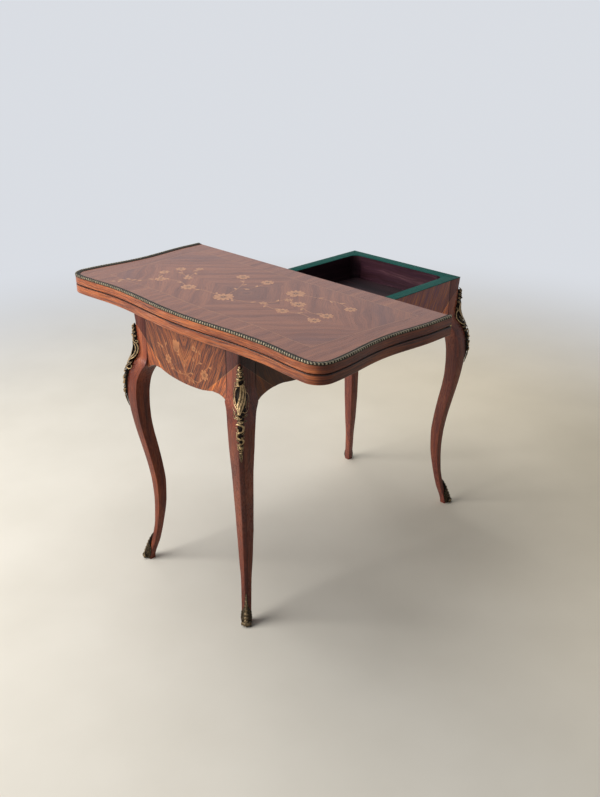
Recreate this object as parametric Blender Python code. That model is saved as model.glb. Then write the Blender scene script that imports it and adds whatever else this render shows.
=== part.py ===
"""A card table with a folded two-leaf top, which swivels on an off-centre pivot and then opens.

Metres, +Z up, standing on z = 0. The frame is long in X, and its front is -Y. The top is shown
turned a quarter turn from its closed place, so that its leaves are long in Y and the well is open.
"""

import math

import bmesh
import bpy
from mathutils import Matrix, Vector

# Clearances
clearance = 0.0003  # between pieces that touch
overrun = 0.002  # how far a cutting tool runs past what it cuts
peg_play = 0.0015  # between the sweep of the stop peg and the partition

# Frame
frame_length = 0.810
frame_width = 0.390
rim_height = 0.7175
baize_thickness = 0.0010
apron_thickness = 0.024
long_apron_drop = 0.126  # from the rim to the lowest place of the middle lobe
short_apron_drop = 0.133
post_side = 0.046
knee_reach = 0.0245  # how far the knee stands out beyond the frame's faces
corner_flat = 0.0067  # what the flat on a leg's outer corner takes off each face
block_side = 0.020
block_height = 0.060
block_depth = 0.020  # below the top of the wood

# Storage well
lining_thickness = 0.009
well_corner_radius = 0.022
well_depth = 0.069
floor_thickness = 0.008
partition_thickness = 0.010
bearer_side = 0.012

# Top
hinge_line_x = 0.009  # where the leaves meet, to the right of the frame's centre
leaf_depth = 0.4356
leaf_length = 0.899
leaf_thickness = 0.0220
leaf_seam = 0.0020
side_hollow = 0.0133
front_hollow = 0.0136
corner_drop = 0.0046  # how far the corners lie behind the middle of the front edge
corner_radius = 0.042
lower_edge_round = 0.003
sharp_edge_round = 0.0008
playing_border = 0.030  # veneered margin round the playing surface
baize_recess = 0.0012

# Brass edging of the upper leaf
edging_width = 0.010
edging_proud = 0.0032
edging_rebate = 0.0015
edging_overhang = 0.0008

# Swivel
rail_width = 0.070
rail_height = 0.040
pivot_plate_width = 0.060
pivot_plate_length = 0.100
pivot_plate_thickness = 0.004
bolt_radius = 0.006
bolt_head_radius = 0.013
bolt_head_height = 0.004
bush_wall = 0.0027
leather_washer_radius = 0.017
leather_washer_thickness = 0.003
washer_radius = 0.015
washer_thickness = 0.0018
nut_radius = 0.010
nut_height = 0.010
nut_wing_reach = 0.022
nut_wing_thickness = 0.003
nut_wing_height = 0.014
bolt_end = 0.003  # what shows of the bolt under the nut
peg_radius = 0.007
peg_inside = 0.009
peg_below = 0.017

# Leaf hinges, let into the faces of the leaves that meet
flap_length = 0.050
flap_width = 0.014
flap_thickness = 0.002
hinge_inset = 0.0015  # from the ends of the leaves
knuckle_radius = 0.0030
pin_radius = 0.0012
screw_head_radius = 0.0030
screw_head_depth = 0.0015
screw_radius = 0.0015
screw_length = 0.013
flap_screw_shares = (0.40, 0.80)  # along the flap from the axis
plate_screw_share = 0.36  # of the plate's width and length, from its centre

# Knee mounts and sabots
mount_proud = 0.0170
mount_wing = 0.0250
mount_lip = 0.0020
sabot_wall = 0.0018
sabot_height = 0.080
sabot_lift = 0.0005
sabot_toe = 0.0120

# Counts
leg_rings = 50
mount_first_ring = 33
mount_last_ring = 48
sabot_steps = 11
apron_steps = 28
side_steps = 10
arc_steps = 5
front_steps = 10
round_sides = 24
small_sides = 12
screw_sides = 8

# The cabriole line of a leg, from the foot up. Each row is a share of the leg's height, then how far
# the outer faces stand out, as a share of knee_reach, how far the inner faces stand in, as a share of
# post_side, and the flat on the outer corner, as a share of corner_flat.
leg_line_shares = (
    (0.000, 0.500, 0.115, 0.52),
    (0.090, 0.000, 0.400, 0.55),
    (0.170, -0.300, 0.600, 0.70),
    (0.265, -0.375, 0.765, 0.92),
    (0.340, -0.290, 0.795, 1.00),
    (0.405, -0.100, 0.728, 1.00),
    (0.490, 0.273, 0.583, 1.00),
    (0.552, 0.567, 0.459, 1.00),
    (0.605, 0.780, 0.389, 1.00),
    (0.652, 0.920, 0.374, 1.00),
    (0.700, 1.000, 0.394, 1.00),
    (0.750, 0.945, 0.479, 1.00),
    (0.775, 0.820, 0.573, 1.00),
    (0.794, 0.665, 0.689, 1.00),
    (0.808, 0.530, 0.801, 1.00),
    (0.820, 0.400, 0.946, 1.00),
    (0.826, 0.335, 1.000, 1.00),
    (0.850, 0.100, 1.000, 1.00),
    (0.885, 0.000, 1.000, 1.00),
    (0.960, 0.000, 1.000, 0.85),
    (1.000, 0.000, 1.000, 0.30),
)

# The lower edges of the aprons: a share of the half span from the middle, then a share of the drop.
long_edge_shares = (
    (0.00, 1.000),
    (0.30, 0.975),
    (0.66, 0.905),
    (0.79, 0.865),
    (0.86, 0.880),
    (0.91, 0.915),
    (0.96, 0.975),
    (1.00, 1.055),
)
short_edge_shares = (
    (0.00, 1.000),
    (0.36, 0.978),
    (0.53, 0.942),
    (0.68, 0.907),
    (0.78, 0.903),
    (0.87, 0.920),
    (0.94, 0.952),
    (1.00, 1.008),
)

# A knee mount from its lower tip up: a share of its height, then how proud it stands, as a share of
# mount_proud, and how far it spreads over each face, as a share of mount_wing.
mount_line_shares = (
    (0.00, 0.12, 0.10),
    (0.08, 0.35, 0.30),
    (0.18, 0.55, 0.44),
    (0.28, 0.70, 0.46),
    (0.36, 0.78, 0.50),
    (0.42, 0.84, 0.62),
    (0.48, 0.90, 0.82),
    (0.56, 1.00, 1.00),
    (0.64, 0.96, 0.96),
    (0.73, 0.80, 0.74),
    (0.83, 0.82, 0.48),
    (0.92, 0.66, 0.34),
    (0.97, 0.64, 0.28),
    (1.00, 0.20, 0.12),
)

# A sabot from the floor up: a share of its height, the share of the leg's face that it covers, and
# what the toe adds, as a share of sabot_toe.
sabot_line_shares = (
    (0.00, 0.93, 0.55),
    (0.09, 0.95, 1.00),
    (0.20, 0.93, 0.45),
    (0.40, 0.90, 0.20),
    (0.60, 0.82, 0.15),
    (0.75, 0.50, 0.22),
    (0.90, 0.30, 0.12),
    (1.00, 0.12, 0.00),
)

side_hollow_reach_share = 0.38  # half width of the hollow in a leaf's end, of the leaf's depth
front_hollow_place_share = 0.574  # of the leaf's half length

# Places that follow from the sizes above
wood_top = rim_height - baize_thickness - clearance
post_x = frame_length / 2 - post_side
post_y = frame_width / 2 - post_side
inner_x = frame_length / 2 - apron_thickness
inner_y = frame_width / 2 - apron_thickness
well_right = inner_x - lining_thickness
well_front = inner_y - lining_thickness
floor_top = rim_height - well_depth
floor_bottom = floor_top - floor_thickness
leaf_half = leaf_length / 2
edge_setback = clearance / 2
seam_height = rim_height + clearance + leaf_thickness + leaf_seam / 2
pivot_x = (hinge_line_x - leaf_depth / 2) / 2
pivot_y = -pivot_x
bore_radius = bolt_radius + clearance
bush_radius = bore_radius + bush_wall
peg_offset = rail_width / 2 + peg_radius + clearance
partition_left = pivot_x + peg_offset * math.sqrt(2) + peg_radius + peg_play
partition_right = partition_left + partition_thickness
block_top = wood_top - block_depth

for old in list(bpy.data.objects):
    bpy.data.objects.remove(old, do_unlink=True)


def finish(name, colour, roughness, metallic=0.0):
    """A Principled material of one colour."""
    made = bpy.data.materials.new(name)
    made.use_nodes = True
    shader = made.node_tree.nodes["Principled BSDF"]
    shader.inputs["Base Color"].default_value = (*colour, 1.0)
    shader.inputs["Roughness"].default_value = roughness
    shader.inputs["Metallic"].default_value = metallic
    return made


leg_wood = finish("leg_wood", (0.17, 0.058, 0.040), 0.35)
apron_veneer = finish("apron_veneer", (0.24, 0.095, 0.048), 0.32)
top_veneer = finish("top_veneer", (0.27, 0.130, 0.080), 0.25)
well_veneer = finish("well_veneer", (0.13, 0.050, 0.060), 0.40)
inner_wood = finish("inner_wood", (0.30, 0.190, 0.110), 0.60)
green_baize = finish("green_baize", (0.010, 0.150, 0.105), 0.95)
gilt_bronze = finish("gilt_bronze", (0.42, 0.320, 0.150), 0.40, 1.0)
plain_brass = finish("plain_brass", (0.50, 0.360, 0.150), 0.35, 1.0)
iron = finish("iron", (0.10, 0.095, 0.090), 0.50, 1.0)
leather = finish("leather", (0.12, 0.060, 0.030), 0.70)


def empty(name, parent, location):
    """An empty that carries other objects."""
    made = bpy.data.objects.new(name, None)
    made.empty_display_size = post_side
    bpy.context.scene.collection.objects.link(made)
    made.parent = parent
    made.location = location
    return made


def piece(name, form, material, parent, location=(0, 0, 0), smooth=False):
    """An object made from a bmesh, which is used up."""
    mesh = bpy.data.meshes.new(name)
    bmesh.ops.recalc_face_normals(form, faces=form.faces)
    form.to_mesh(mesh)
    form.free()
    mesh.materials.append(material)
    if smooth:
        mesh.shade_smooth()
        mesh.set_sharp_from_angle(angle=math.radians(40))
    made = bpy.data.objects.new(name, mesh)
    bpy.context.scene.collection.objects.link(made)
    made.parent = parent
    made.location = location
    return made


def work(target, form, name, operation="DIFFERENCE"):
    """Cuts a form from an object, or joins it on. The form's points are in the parent's frame."""
    tool = piece(name, form, target.data.materials[0], target.parent)
    tool.hide_render = True
    tool.display_type = "WIRE"
    modifier = target.modifiers.new(name, "BOOLEAN")
    modifier.operation = operation
    modifier.solver = "EXACT"
    modifier.object = tool


def prism(outline, low, high):
    """A flat outline in X and Y, drawn up from low to high."""
    form = bmesh.new()
    base = form.faces.new([form.verts.new((x, y, low)) for x, y in outline])
    lifted = bmesh.ops.extrude_face_region(form, geom=[base])["geom"]
    corners = [v for v in lifted if isinstance(v, bmesh.types.BMVert)]
    bmesh.ops.translate(form, verts=corners, vec=(0, 0, high - low))
    return form


def box(x, y, z):
    """A block between the lower and higher value of each axis."""
    return prism(((x[0], y[0]), (x[1], y[0]), (x[1], y[1]), (x[0], y[1])), z[0], z[1])


def upright(outline, low, high):
    """A flat outline in X and Z, drawn along Y from low to high."""
    form = prism(outline, -high, -low)
    bmesh.ops.rotate(form, verts=form.verts, cent=(0, 0, 0), matrix=Matrix.Rotation(math.pi / 2, 3, "X"))
    return form


def loft(rings, flat_back=False):
    """A closed skin over rings of points. A flat back joins their ends with a single face."""
    form = bmesh.new()
    loops = [[form.verts.new(point) for point in ring] for ring in rings]
    for low, high in zip(loops, loops[1:]):
        for k in range(flat_back, len(low)):
            form.faces.new((low[k - 1], low[k], high[k], high[k - 1]))
    if flat_back:
        form.faces.new([loop[0] for loop in loops] + [loop[-1] for loop in loops[::-1]])
    form.faces.new(loops[0])
    form.faces.new(loops[-1])
    return form


def turned(profile, sides, closed=False):
    """A profile of (radius, height) points spun round Z. A closed profile makes a tube."""
    form = bmesh.new()
    corners = [form.verts.new((radius, 0, height)) for radius, height in profile]
    edges = [form.edges.new(pair) for pair in zip(corners, corners[1:])]
    if closed:
        edges.append(form.edges.new((corners[-1], corners[0])))
    bmesh.ops.spin(
        form,
        geom=corners + edges,
        cent=(0, 0, 0),
        axis=(0, 0, 1),
        angle=math.tau,
        steps=sides,
        use_merge=True,
    )
    bmesh.ops.remove_doubles(form, verts=form.verts, dist=clearance / 100)
    return form


def rod(radius, low, high, sides):
    """A plain cylinder on Z."""
    return turned(((0, low), (radius, low), (radius, high), (0, high)), sides)


def tube(inner, outer, low, high, sides):
    """A cylinder on Z with a bore."""
    return turned(((inner, low), (outer, low), (outer, high), (inner, high)), sides, closed=True)


def moved(form, offset):
    bmesh.ops.translate(form, verts=form.verts, vec=offset)
    return form


def turned_to_y(form, end):
    """Lays a form that was made on Z along Y, pointing towards +Y or -Y."""
    turn = Matrix.Rotation(-end * math.pi / 2, 3, "X")
    bmesh.ops.rotate(form, verts=form.verts, cent=(0, 0, 0), matrix=turn)
    return form


def along(table, share):
    """The row of a table at a share, on a smooth line that never swings past its rows."""
    upper = 1
    while upper < len(table) - 1 and table[upper][0] < share:
        upper += 1
    low, high = table[upper - 1], table[upper]
    run = high[0] - low[0]
    part = (share - low[0]) / run

    def slope(index, column):
        if index in (0, len(table) - 1):
            return 0.0
        before, here, after = table[index - 1 : index + 2]
        left = (here[column] - before[column]) / (here[0] - before[0])
        right = (after[column] - here[column]) / (after[0] - here[0])
        if left * right <= 0:
            return 0.0
        return 2 * left * right / (left + right)

    values = []
    for column in range(1, len(low)):
        start, end = slope(upper - 1, column) * run, slope(upper, column) * run
        values.append(
            low[column] * (1 + 2 * part) * (1 - part) ** 2
            + start * part * (1 - part) ** 2
            + high[column] * (3 - 2 * part) * part**2
            - end * part**2 * (1 - part)
        )
    return values


def ring_height(ring):
    return wood_top * ring / leg_rings


def leg_section(height):
    """How far a leg stands out and in from the frame's faces, and the cut of its corner flat."""
    ring = min(int(height / wood_top * leg_rings), leg_rings - 1)
    rest = height / wood_top * leg_rings - ring
    low = along(leg_line_shares, ring / leg_rings)
    high = along(leg_line_shares, (ring + 1) / leg_rings)
    out, inward, flat = (a + (b - a) * rest for a, b in zip(low, high))
    return out * knee_reach, inward * post_side, flat * corner_flat


def well_outline(grow, left):
    """The well's plan, square at the partition and rounded at the right, grown by a wall."""
    radius = well_corner_radius + grow
    centre_x = well_right - well_corner_radius
    centre_y = well_front - well_corner_radius
    points = [(left, -centre_y - radius)]
    for side in (-1, 1):
        for step in range(arc_steps + 1):
            turn = math.pi / 2 * (step / arc_steps - (side < 0))
            points.append((centre_x + radius * math.cos(turn), side * centre_y + radius * math.sin(turn)))
    points.append((left, centre_y + radius))
    return points


table = empty("table", None, (0, 0, 0))
top_swivel = empty("top_swivel", table, (pivot_x, pivot_y, seam_height))
leaf_fold = empty("leaf_fold", top_swivel, (hinge_line_x - pivot_x, -pivot_y, 0))

corners = {
    "front_left": (-1, -1),
    "front_right": (1, -1),
    "back_left": (-1, 1),
    "back_right": (1, 1),
}


# Legs


def leg(place, side_x, side_y):
    """A cabriole leg and its corner post, in one length of wood."""
    rings = []
    for ring in range(leg_rings + 1):
        height = ring_height(ring)
        out, inward, flat = leg_section(height)
        outline = (
            (out, -inward),
            (out, out - flat),
            (out - flat, out),
            (-inward, out),
            (-inward, -inward),
        )
        rings.append([(side_x * x, side_y * y, height) for x, y in outline])
    corner = (side_x * frame_length / 2, side_y * frame_width / 2, 0)
    made = piece("leg_" + place, loft(rings), leg_wood, table, corner, smooth=True)
    if side_x > 0:
        hollow = prism(well_outline(lining_thickness, 0), floor_bottom - clearance, rim_height + overrun)
        work(made, hollow, "well_cut_" + place)


for place, (side_x, side_y) in corners.items():
    leg(place, side_x, side_y)


# Aprons


def apron_outline(half_span, drop, edge_shares):
    """The face of an apron, straight along the top and shaped along the bottom."""
    points = [(half_span, wood_top), (-half_span, wood_top)]
    for step in range(apron_steps + 1):
        share = 2 * step / apron_steps - 1
        fall = along(edge_shares, abs(share))[0] * drop
        points.append((share * half_span, rim_height - fall))
    return points


face = apron_outline(post_x - clearance, long_apron_drop, long_edge_shares)
for place, low in (("front", -frame_width / 2), ("back", inner_y)):
    board = upright(face, low, low + apron_thickness)
    piece("apron_" + place, board, apron_veneer, table, smooth=True)

face = apron_outline(post_y - clearance, short_apron_drop, short_edge_shares)
for place, low in (("left", -frame_length / 2), ("right", inner_x)):
    board = upright(face, -low - apron_thickness, -low)
    bmesh.ops.rotate(board, verts=board.verts, cent=(0, 0, 0), matrix=Matrix.Rotation(math.pi / 2, 3, "Z"))
    piece("apron_" + place, board, apron_veneer, table, smooth=True)


# Storage well

partition_y = inner_y - clearance
piece(
    "well_partition",
    box((partition_left, partition_right), (-partition_y, partition_y), (floor_bottom, wood_top)),
    well_veneer,
    table,
)
floor_plan = well_outline(lining_thickness - clearance, partition_right + clearance)
piece("well_floor", prism(floor_plan, floor_bottom, floor_top), well_veneer, table)

wall_bottom = floor_top + clearance
wall_reach = lining_thickness - clearance
straight_x = well_right - well_corner_radius - clearance
straight_y = well_front - well_corner_radius - clearance
for place, side in (("front", -1), ("back", 1)):
    span = sorted((side * well_front, side * (well_front + wall_reach)))
    wall = box((partition_right + clearance, straight_x), span, (wall_bottom, wood_top))
    piece("well_lining_" + place, wall, well_veneer, table)

    cove = []
    for radius, order in ((well_corner_radius, 1), (well_corner_radius + wall_reach, -1)):
        arc = []
        for step in range(arc_steps + 1):
            turn = math.pi / 2 * step / arc_steps
            arc.append((radius * math.cos(turn), side * radius * math.sin(turn)))
        cove += arc[::order]
    centre = (well_right - well_corner_radius, side * (well_front - well_corner_radius), 0)
    bend = prism(cove, wall_bottom, wood_top)
    piece("well_corner_" + place, bend, well_veneer, table, centre, smooth=True)

    strip_y = sorted((side * partition_y, side * (partition_y - bearer_side)))
    strip_z = (floor_bottom - clearance - bearer_side, floor_bottom - clearance)
    strip = box((partition_right + clearance, post_x - clearance), strip_y, strip_z)
    piece("floor_bearer_" + place, strip, inner_wood, table)

    block_x = -post_x + clearance
    triangle = ((block_x, 0), (block_x + block_side, 0), (block_x, -side * block_side))
    wedge = prism(triangle, block_top - block_height, block_top)
    piece("glue_block_" + place, wedge, inner_wood, table, (0, side * partition_y, 0))

wall = box((well_right, well_right + wall_reach), (-straight_y, straight_y), (wall_bottom, wood_top))
piece("well_lining_right", wall, well_veneer, table)


# Pivot rail and its bush

rail_x = (pivot_x - rail_width / 2, pivot_x + rail_width / 2)
rail_bottom = wood_top - rail_height
rail = piece(
    "pivot_rail",
    box(rail_x, (-partition_y, partition_y), (rail_bottom, wood_top)),
    inner_wood,
    table,
)
bush_bore = rod(bush_radius + clearance, rail_bottom - overrun, wood_top + overrun, round_sides)
work(rail, moved(bush_bore, (pivot_x, pivot_y, 0)), "bush_bore")
bush = tube(bore_radius, bush_radius, rail_bottom, wood_top, round_sides)
piece("pivot_bush", bush, plain_brass, table, (pivot_x, pivot_y, 0), smooth=True)


# Rim baize

baize_bottom = rim_height - baize_thickness
cloth_z = (baize_bottom - overrun, rim_height + overrun)
cloth = box(
    (-frame_length / 2, frame_length / 2),
    (-frame_width / 2, frame_width / 2),
    (baize_bottom, rim_height),
)
rim_baize = piece("rim_baize", cloth, green_baize, table)
work(rim_baize, prism(well_outline(0, partition_right), *cloth_z), "baize_well_hole")
left_bay = (
    (-inner_x, -post_y),
    (-post_x, -post_y),
    (-post_x, -inner_y),
    (rail_x[0], -inner_y),
    (rail_x[0], inner_y),
    (-post_x, inner_y),
    (-post_x, post_y),
    (-inner_x, post_y),
)
work(rim_baize, prism(left_bay, *cloth_z), "baize_bay_hole")
work(rim_baize, box((rail_x[1], partition_left), (-inner_y, inner_y), cloth_z), "baize_peg_hole")
bolt_hole = rod(bush_radius, *cloth_z, round_sides)
work(rim_baize, moved(bolt_hole, (pivot_x, pivot_y, 0)), "baize_bolt_hole")


# Leaves


def leaf_line(inset):
    """A leaf's free edge, as (distance from the hinge line, place along it), moved in by inset."""
    centre_u = leaf_depth - corner_drop - corner_radius
    centre_v = leaf_half - corner_radius
    dip_v = leaf_half * front_hollow_place_share
    half = []
    for step in range(side_steps):
        u = edge_setback + (centre_u - edge_setback) * step / side_steps
        off = (u - leaf_depth / 2) / (leaf_depth * side_hollow_reach_share)
        dent = math.cos(math.pi / 2 * off) ** 2 if abs(off) < 1 else 0
        half.append((u, leaf_half - side_hollow * dent))
    for step in range(arc_steps + 1):
        turn = math.pi / 2 * (1 - step / arc_steps)
        half.append((centre_u + corner_radius * math.cos(turn), centre_v + corner_radius * math.sin(turn)))
    for step in range(1, front_steps + 1):
        v = centre_v * (1 - step / front_steps)
        if v < dip_v:
            back = front_hollow * (1 - math.cos(math.pi * v / dip_v)) / 2
        else:
            wave = math.cos(math.pi * (v - dip_v) / (centre_v - dip_v))
            back = front_hollow - (front_hollow - corner_drop) * (1 - wave) / 2
        half.append((leaf_depth - back, v))
    line = half + [(u, -v) for u, v in half[-2::-1]]
    moved_in = []
    for k, point in enumerate(line):
        before, after = line[max(k - 1, 0)], line[min(k + 1, len(line) - 1)]
        run = Vector((after[0] - before[0], after[1] - before[1])).normalized()
        if k in (0, len(line) - 1):
            run = Vector((1 if k == 0 else -1, 0))
        moved_in.append((point[0] + run.y * inset, point[1] - run.x * inset))
    return moved_in


def leaf_ring(inset, height):
    return [(-u, v, height) for u, v in leaf_line(inset)]


def round_over(radius, start, direction):
    """Rows of (height, inset) for a quarter round that meets an outer face."""
    rows = []
    for step in range(3 + 1):
        turn = math.pi / 2 * step / 3
        rows.append((start + direction * radius * math.sin(turn), radius * (1 - math.cos(turn))))
    return rows


inner_face = leaf_seam / 2
outer_face = leaf_seam / 2 + leaf_thickness

lower_rows = [(-inner_face, sharp_edge_round), (-inner_face - sharp_edge_round, 0)]
lower_rows += round_over(lower_edge_round, -outer_face + lower_edge_round, -1)
upper_rows = [
    (inner_face, sharp_edge_round),
    (inner_face + sharp_edge_round, 0),
    (outer_face - edging_rebate, 0),
    (outer_face - edging_rebate, edging_width + clearance),
    (outer_face, edging_width + clearance),
]
hinge_place = (hinge_line_x - pivot_x, -pivot_y, 0)
lower_skin = loft([leaf_ring(inset, height) for height, inset in lower_rows], flat_back=True)
lower_leaf = piece("lower_leaf", lower_skin, top_veneer, top_swivel, hinge_place, smooth=True)
upper_skin = loft([leaf_ring(inset, height) for height, inset in upper_rows], flat_back=True)
upper_leaf = piece("upper_leaf", upper_skin, top_veneer, leaf_fold, smooth=True)

recess_plan = [(overrun, leaf_half - playing_border)]
recess_plan += [(-u, v) for u, v in leaf_line(playing_border)]
recess_plan += [(overrun, -leaf_half + playing_border)]
cloth_plan = [(-u, v) for u, v in leaf_line(playing_border + clearance)]
recess = inner_face + baize_recess
cloth_face = clearance / 2
lower_recess = prism(recess_plan, -recess, overrun)
work(lower_leaf, moved(lower_recess, hinge_place), "lower_recess")
work(upper_leaf, prism(recess_plan, -overrun, recess), "upper_recess")
lower_cloth = prism(cloth_plan, -recess + clearance, -cloth_face)
piece("lower_baize", lower_cloth, green_baize, top_swivel, hinge_place)
upper_cloth = prism(cloth_plan, cloth_face, recess - clearance)
piece("upper_baize", upper_cloth, green_baize, leaf_fold)


# Brass edging

edging_bottom = outer_face - edging_rebate + clearance
edging_top = outer_face + edging_proud
edging_section = (
    (-edging_overhang, edging_bottom),
    (-edging_overhang, edging_top - edging_proud / 2),
    (edging_width * 0.15, edging_top),
    (edging_width * 0.60, edging_top),
    (edging_width, outer_face + clearance),
    (edging_width, edging_bottom),
)
edging_lines = [leaf_ring(inset, height) for inset, height in edging_section]
edging = loft(list(zip(*edging_lines)))
piece("brass_edging", edging, gilt_bronze, leaf_fold, smooth=True)


# Leaf hinges


def screw_form(grow, lift, up):
    """A countersunk screw whose shank points along up. Grown and lifted, it is the screw's hole."""
    head, shank, tip = screw_head_radius + grow, screw_radius + grow, screw_length + grow
    profile = [(0, -lift), (head, -lift)]
    if lift:
        profile.append((head, 0))
    profile += [(shank, screw_head_depth), (shank, tip), (0, tip)]
    form = turned(profile, screw_sides)
    turn = Vector((0, 0, 1)).rotation_difference(Vector(up)).to_matrix()
    bmesh.ops.rotate(form, verts=form.verts, cent=(0, 0, 0), matrix=turn)
    return form


def screw(name, parent, location, up, pieces):
    """A countersunk screw, with its hole in each piece that it passes."""
    piece(name, screw_form(0, 0, up), plain_brass, parent, location, smooth=True)
    for target in pieces:
        hole = screw_form(clearance, overrun, up)
        work(target, moved(hole, location), name + "_hole_" + target.name)


def hinge(place, end):
    """A hinge at one end of the leaves, with its flaps let into the faces that meet."""
    first_y = leaf_half - hinge_inset
    last_y = first_y - flap_width
    knuckle_width = (flap_width - 2 * clearance) / 3
    middle = (first_y - knuckle_width - clearance, last_y + knuckle_width + clearance)
    near, far = inner_face, inner_face + flap_thickness
    joint = knuckle_radius + clearance

    outline = [(-flap_length, far), (-flap_length, near)]
    start = math.pi - math.asin(near / knuckle_radius)
    for step in range(small_sides + 1):
        turn = start + (math.tau + math.pi / 2 - start) * step / small_sides
        outline.append((knuckle_radius * math.cos(turn), knuckle_radius * math.sin(turn)))
    outline.append((-joint, far))
    middle_slot = [(middle[0] + clearance, middle[1] - clearance)]
    outer_slots = [(first_y + overrun, middle[0]), (middle[1], last_y - overrun)]
    for side, leaf, carrier, origin, slots in (
        (-1, lower_leaf, top_swivel, hinge_place, middle_slot),
        (1, upper_leaf, leaf_fold, (0, 0, 0), outer_slots),
    ):
        level = "lower" if side < 0 else "upper"
        name = "hinge_" + level + "_flap_" + place
        face = [(x, side * z) for x, z in outline]
        flap = upright(face, *sorted((end * first_y, end * last_y)))
        made = piece(name, moved(flap, origin), plain_brass, carrier, smooth=True)
        for number, slot in enumerate(slots):
            reach = knuckle_radius + overrun
            gap = box((-joint, reach), sorted((end * slot[0], end * slot[1])), (-reach, reach))
            work(made, moved(gap, origin), name + "_slot_" + str(number))
        hole = turned_to_y(rod(pin_radius + clearance, -overrun, flap_width + overrun, small_sides), -end)
        moved(hole, (0, end * first_y, 0))
        work(made, moved(hole, origin), name + "_pin_hole")

        pocket_y = sorted((end * (first_y + clearance), end * (last_y - clearance)))
        pocket_z = sorted((-side * overrun, side * (far + clearance)))
        pocket = box((-flap_length - clearance, overrun), pocket_y, pocket_z)
        work(leaf, moved(pocket, origin), name + "_pocket")
        middle_y = end * (first_y + last_y) / 2
        for number, share in enumerate(flap_screw_shares, start=1):
            spot = Vector((-flap_length * share, middle_y, side * near)) + Vector(origin)
            screw(f"screw_{level}_{place}_{number}", carrier, spot, (0, 0, side), (made, leaf))

    pin = turned_to_y(rod(pin_radius, clearance, flap_width - clearance, small_sides), -end)
    moved(pin, (0, end * first_y, 0))
    piece("hinge_pin_" + place, pin, plain_brass, top_swivel, hinge_place, smooth=True)


hinge("front", -1)
hinge("back", 1)


# Swivel, in the frame of its own axis, with heights counted from the leaves' seam

leaf_bottom = -outer_face
plate_top = leaf_bottom + pivot_plate_thickness
head_bottom = plate_top + clearance
head_top = head_bottom + bolt_head_height
plate_x, plate_y = pivot_plate_width / 2, pivot_plate_length / 2
plate = box((-plate_x, plate_x), (-plate_y, plate_y), (leaf_bottom, plate_top))
pivot_plate = piece("pivot_plate", plate, plain_brass, top_swivel)
work(pivot_plate, rod(bore_radius, leaf_bottom - overrun, plate_top + overrun, round_sides), "plate_bore")
pocket_x, pocket_y = plate_x + clearance, plate_y + clearance
pocket = box((-pocket_x, pocket_x), (-pocket_y, pocket_y), (leaf_bottom - overrun, plate_top + clearance))
work(lower_leaf, pocket, "plate_pocket")
head_room = rod(bolt_head_radius + clearance, leaf_bottom - overrun, head_top + clearance, round_sides)
work(lower_leaf, head_room, "bolt_head_pocket")

washer_top = rail_bottom - seam_height - clearance
leather_bottom = washer_top - leather_washer_thickness
brass_top = leather_bottom - clearance
brass_bottom = brass_top - washer_thickness
nut_top = brass_bottom - clearance
nut_bottom = nut_top - nut_height
bolt_bottom = nut_bottom - bolt_end
bolt = turned(
    (
        (0, bolt_bottom),
        (bolt_radius, bolt_bottom),
        (bolt_radius, head_bottom),
        (bolt_head_radius, head_bottom),
        (bolt_head_radius, head_top),
        (0, head_top),
    ),
    round_sides,
)
piece("pivot_bolt", bolt, iron, top_swivel, smooth=True)
leather_ring = tube(bore_radius, leather_washer_radius, leather_bottom, washer_top, round_sides)
piece("leather_washer", leather_ring, leather, top_swivel, smooth=True)
brass_ring = tube(bore_radius, washer_radius, brass_bottom, brass_top, round_sides)
piece("pivot_washer", brass_ring, plain_brass, top_swivel, smooth=True)
hub = tube(bore_radius, nut_radius, nut_bottom, nut_top, round_sides)
wing_nut = piece("wing_nut", hub, iron, top_swivel, smooth=True)
wing_y = (-nut_wing_thickness / 2, nut_wing_thickness / 2)
wing_bottom = nut_top - nut_wing_height
for name, side in (("left_wing", -1), ("right_wing", 1)):
    reach = sorted((side * (bore_radius + nut_radius) / 2, side * nut_wing_reach))
    work(wing_nut, box(reach, wing_y, (wing_bottom, nut_top - clearance)), name, "UNION")

for number, (side_x, side_y) in enumerate(corners.values(), start=1):
    spot = (
        side_x * pivot_plate_width * plate_screw_share,
        side_y * pivot_plate_length * plate_screw_share,
        leaf_bottom,
    )
    screw(f"plate_screw_{number}", top_swivel, spot, (0, 0, 1), (pivot_plate, lower_leaf))

peg_place = (peg_offset, -peg_offset, 0)
peg = rod(peg_radius, leaf_bottom - peg_below, leaf_bottom + peg_inside, round_sides)
piece("stop_peg", moved(peg, peg_place), inner_wood, top_swivel, smooth=True)
peg_bore = rod(peg_radius + clearance, leaf_bottom - overrun, leaf_bottom + peg_inside + clearance, round_sides)
work(lower_leaf, moved(peg_bore, peg_place), "peg_bore")


# Knee mounts and sabots


def mounting(height, wing, wall, proud):
    """The section of a casting that wraps a leg's outer corner, as (outward X, outward Y) points."""
    out, _, flat = leg_section(height)
    seat = out + clearance
    nose = out - flat / 2 + proud / math.sqrt(2)
    shoulder = max(seat + wall, seat + (nose - seat) * 0.85)
    half = [
        (seat + wall, out - wing),
        (shoulder, out - flat - (wing - flat) * 0.35),
        (nose, nose),
    ]
    back = [(out - flat + clearance, seat), (out - wing, seat)]
    front = half + [(y, x) for x, y in half[-2::-1]]
    return front + back[::-1] + [(y, x) for x, y in back]


def casting(name, place, sections):
    side_x, side_y = corners[place]
    rings = [[(side_x * x, side_y * y, height) for x, y in ring] for height, ring in sections]
    corner = (side_x * frame_length / 2, side_y * frame_width / 2, 0)
    piece(name + "_" + place, loft(rings), gilt_bronze, table, corner, smooth=True)


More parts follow.
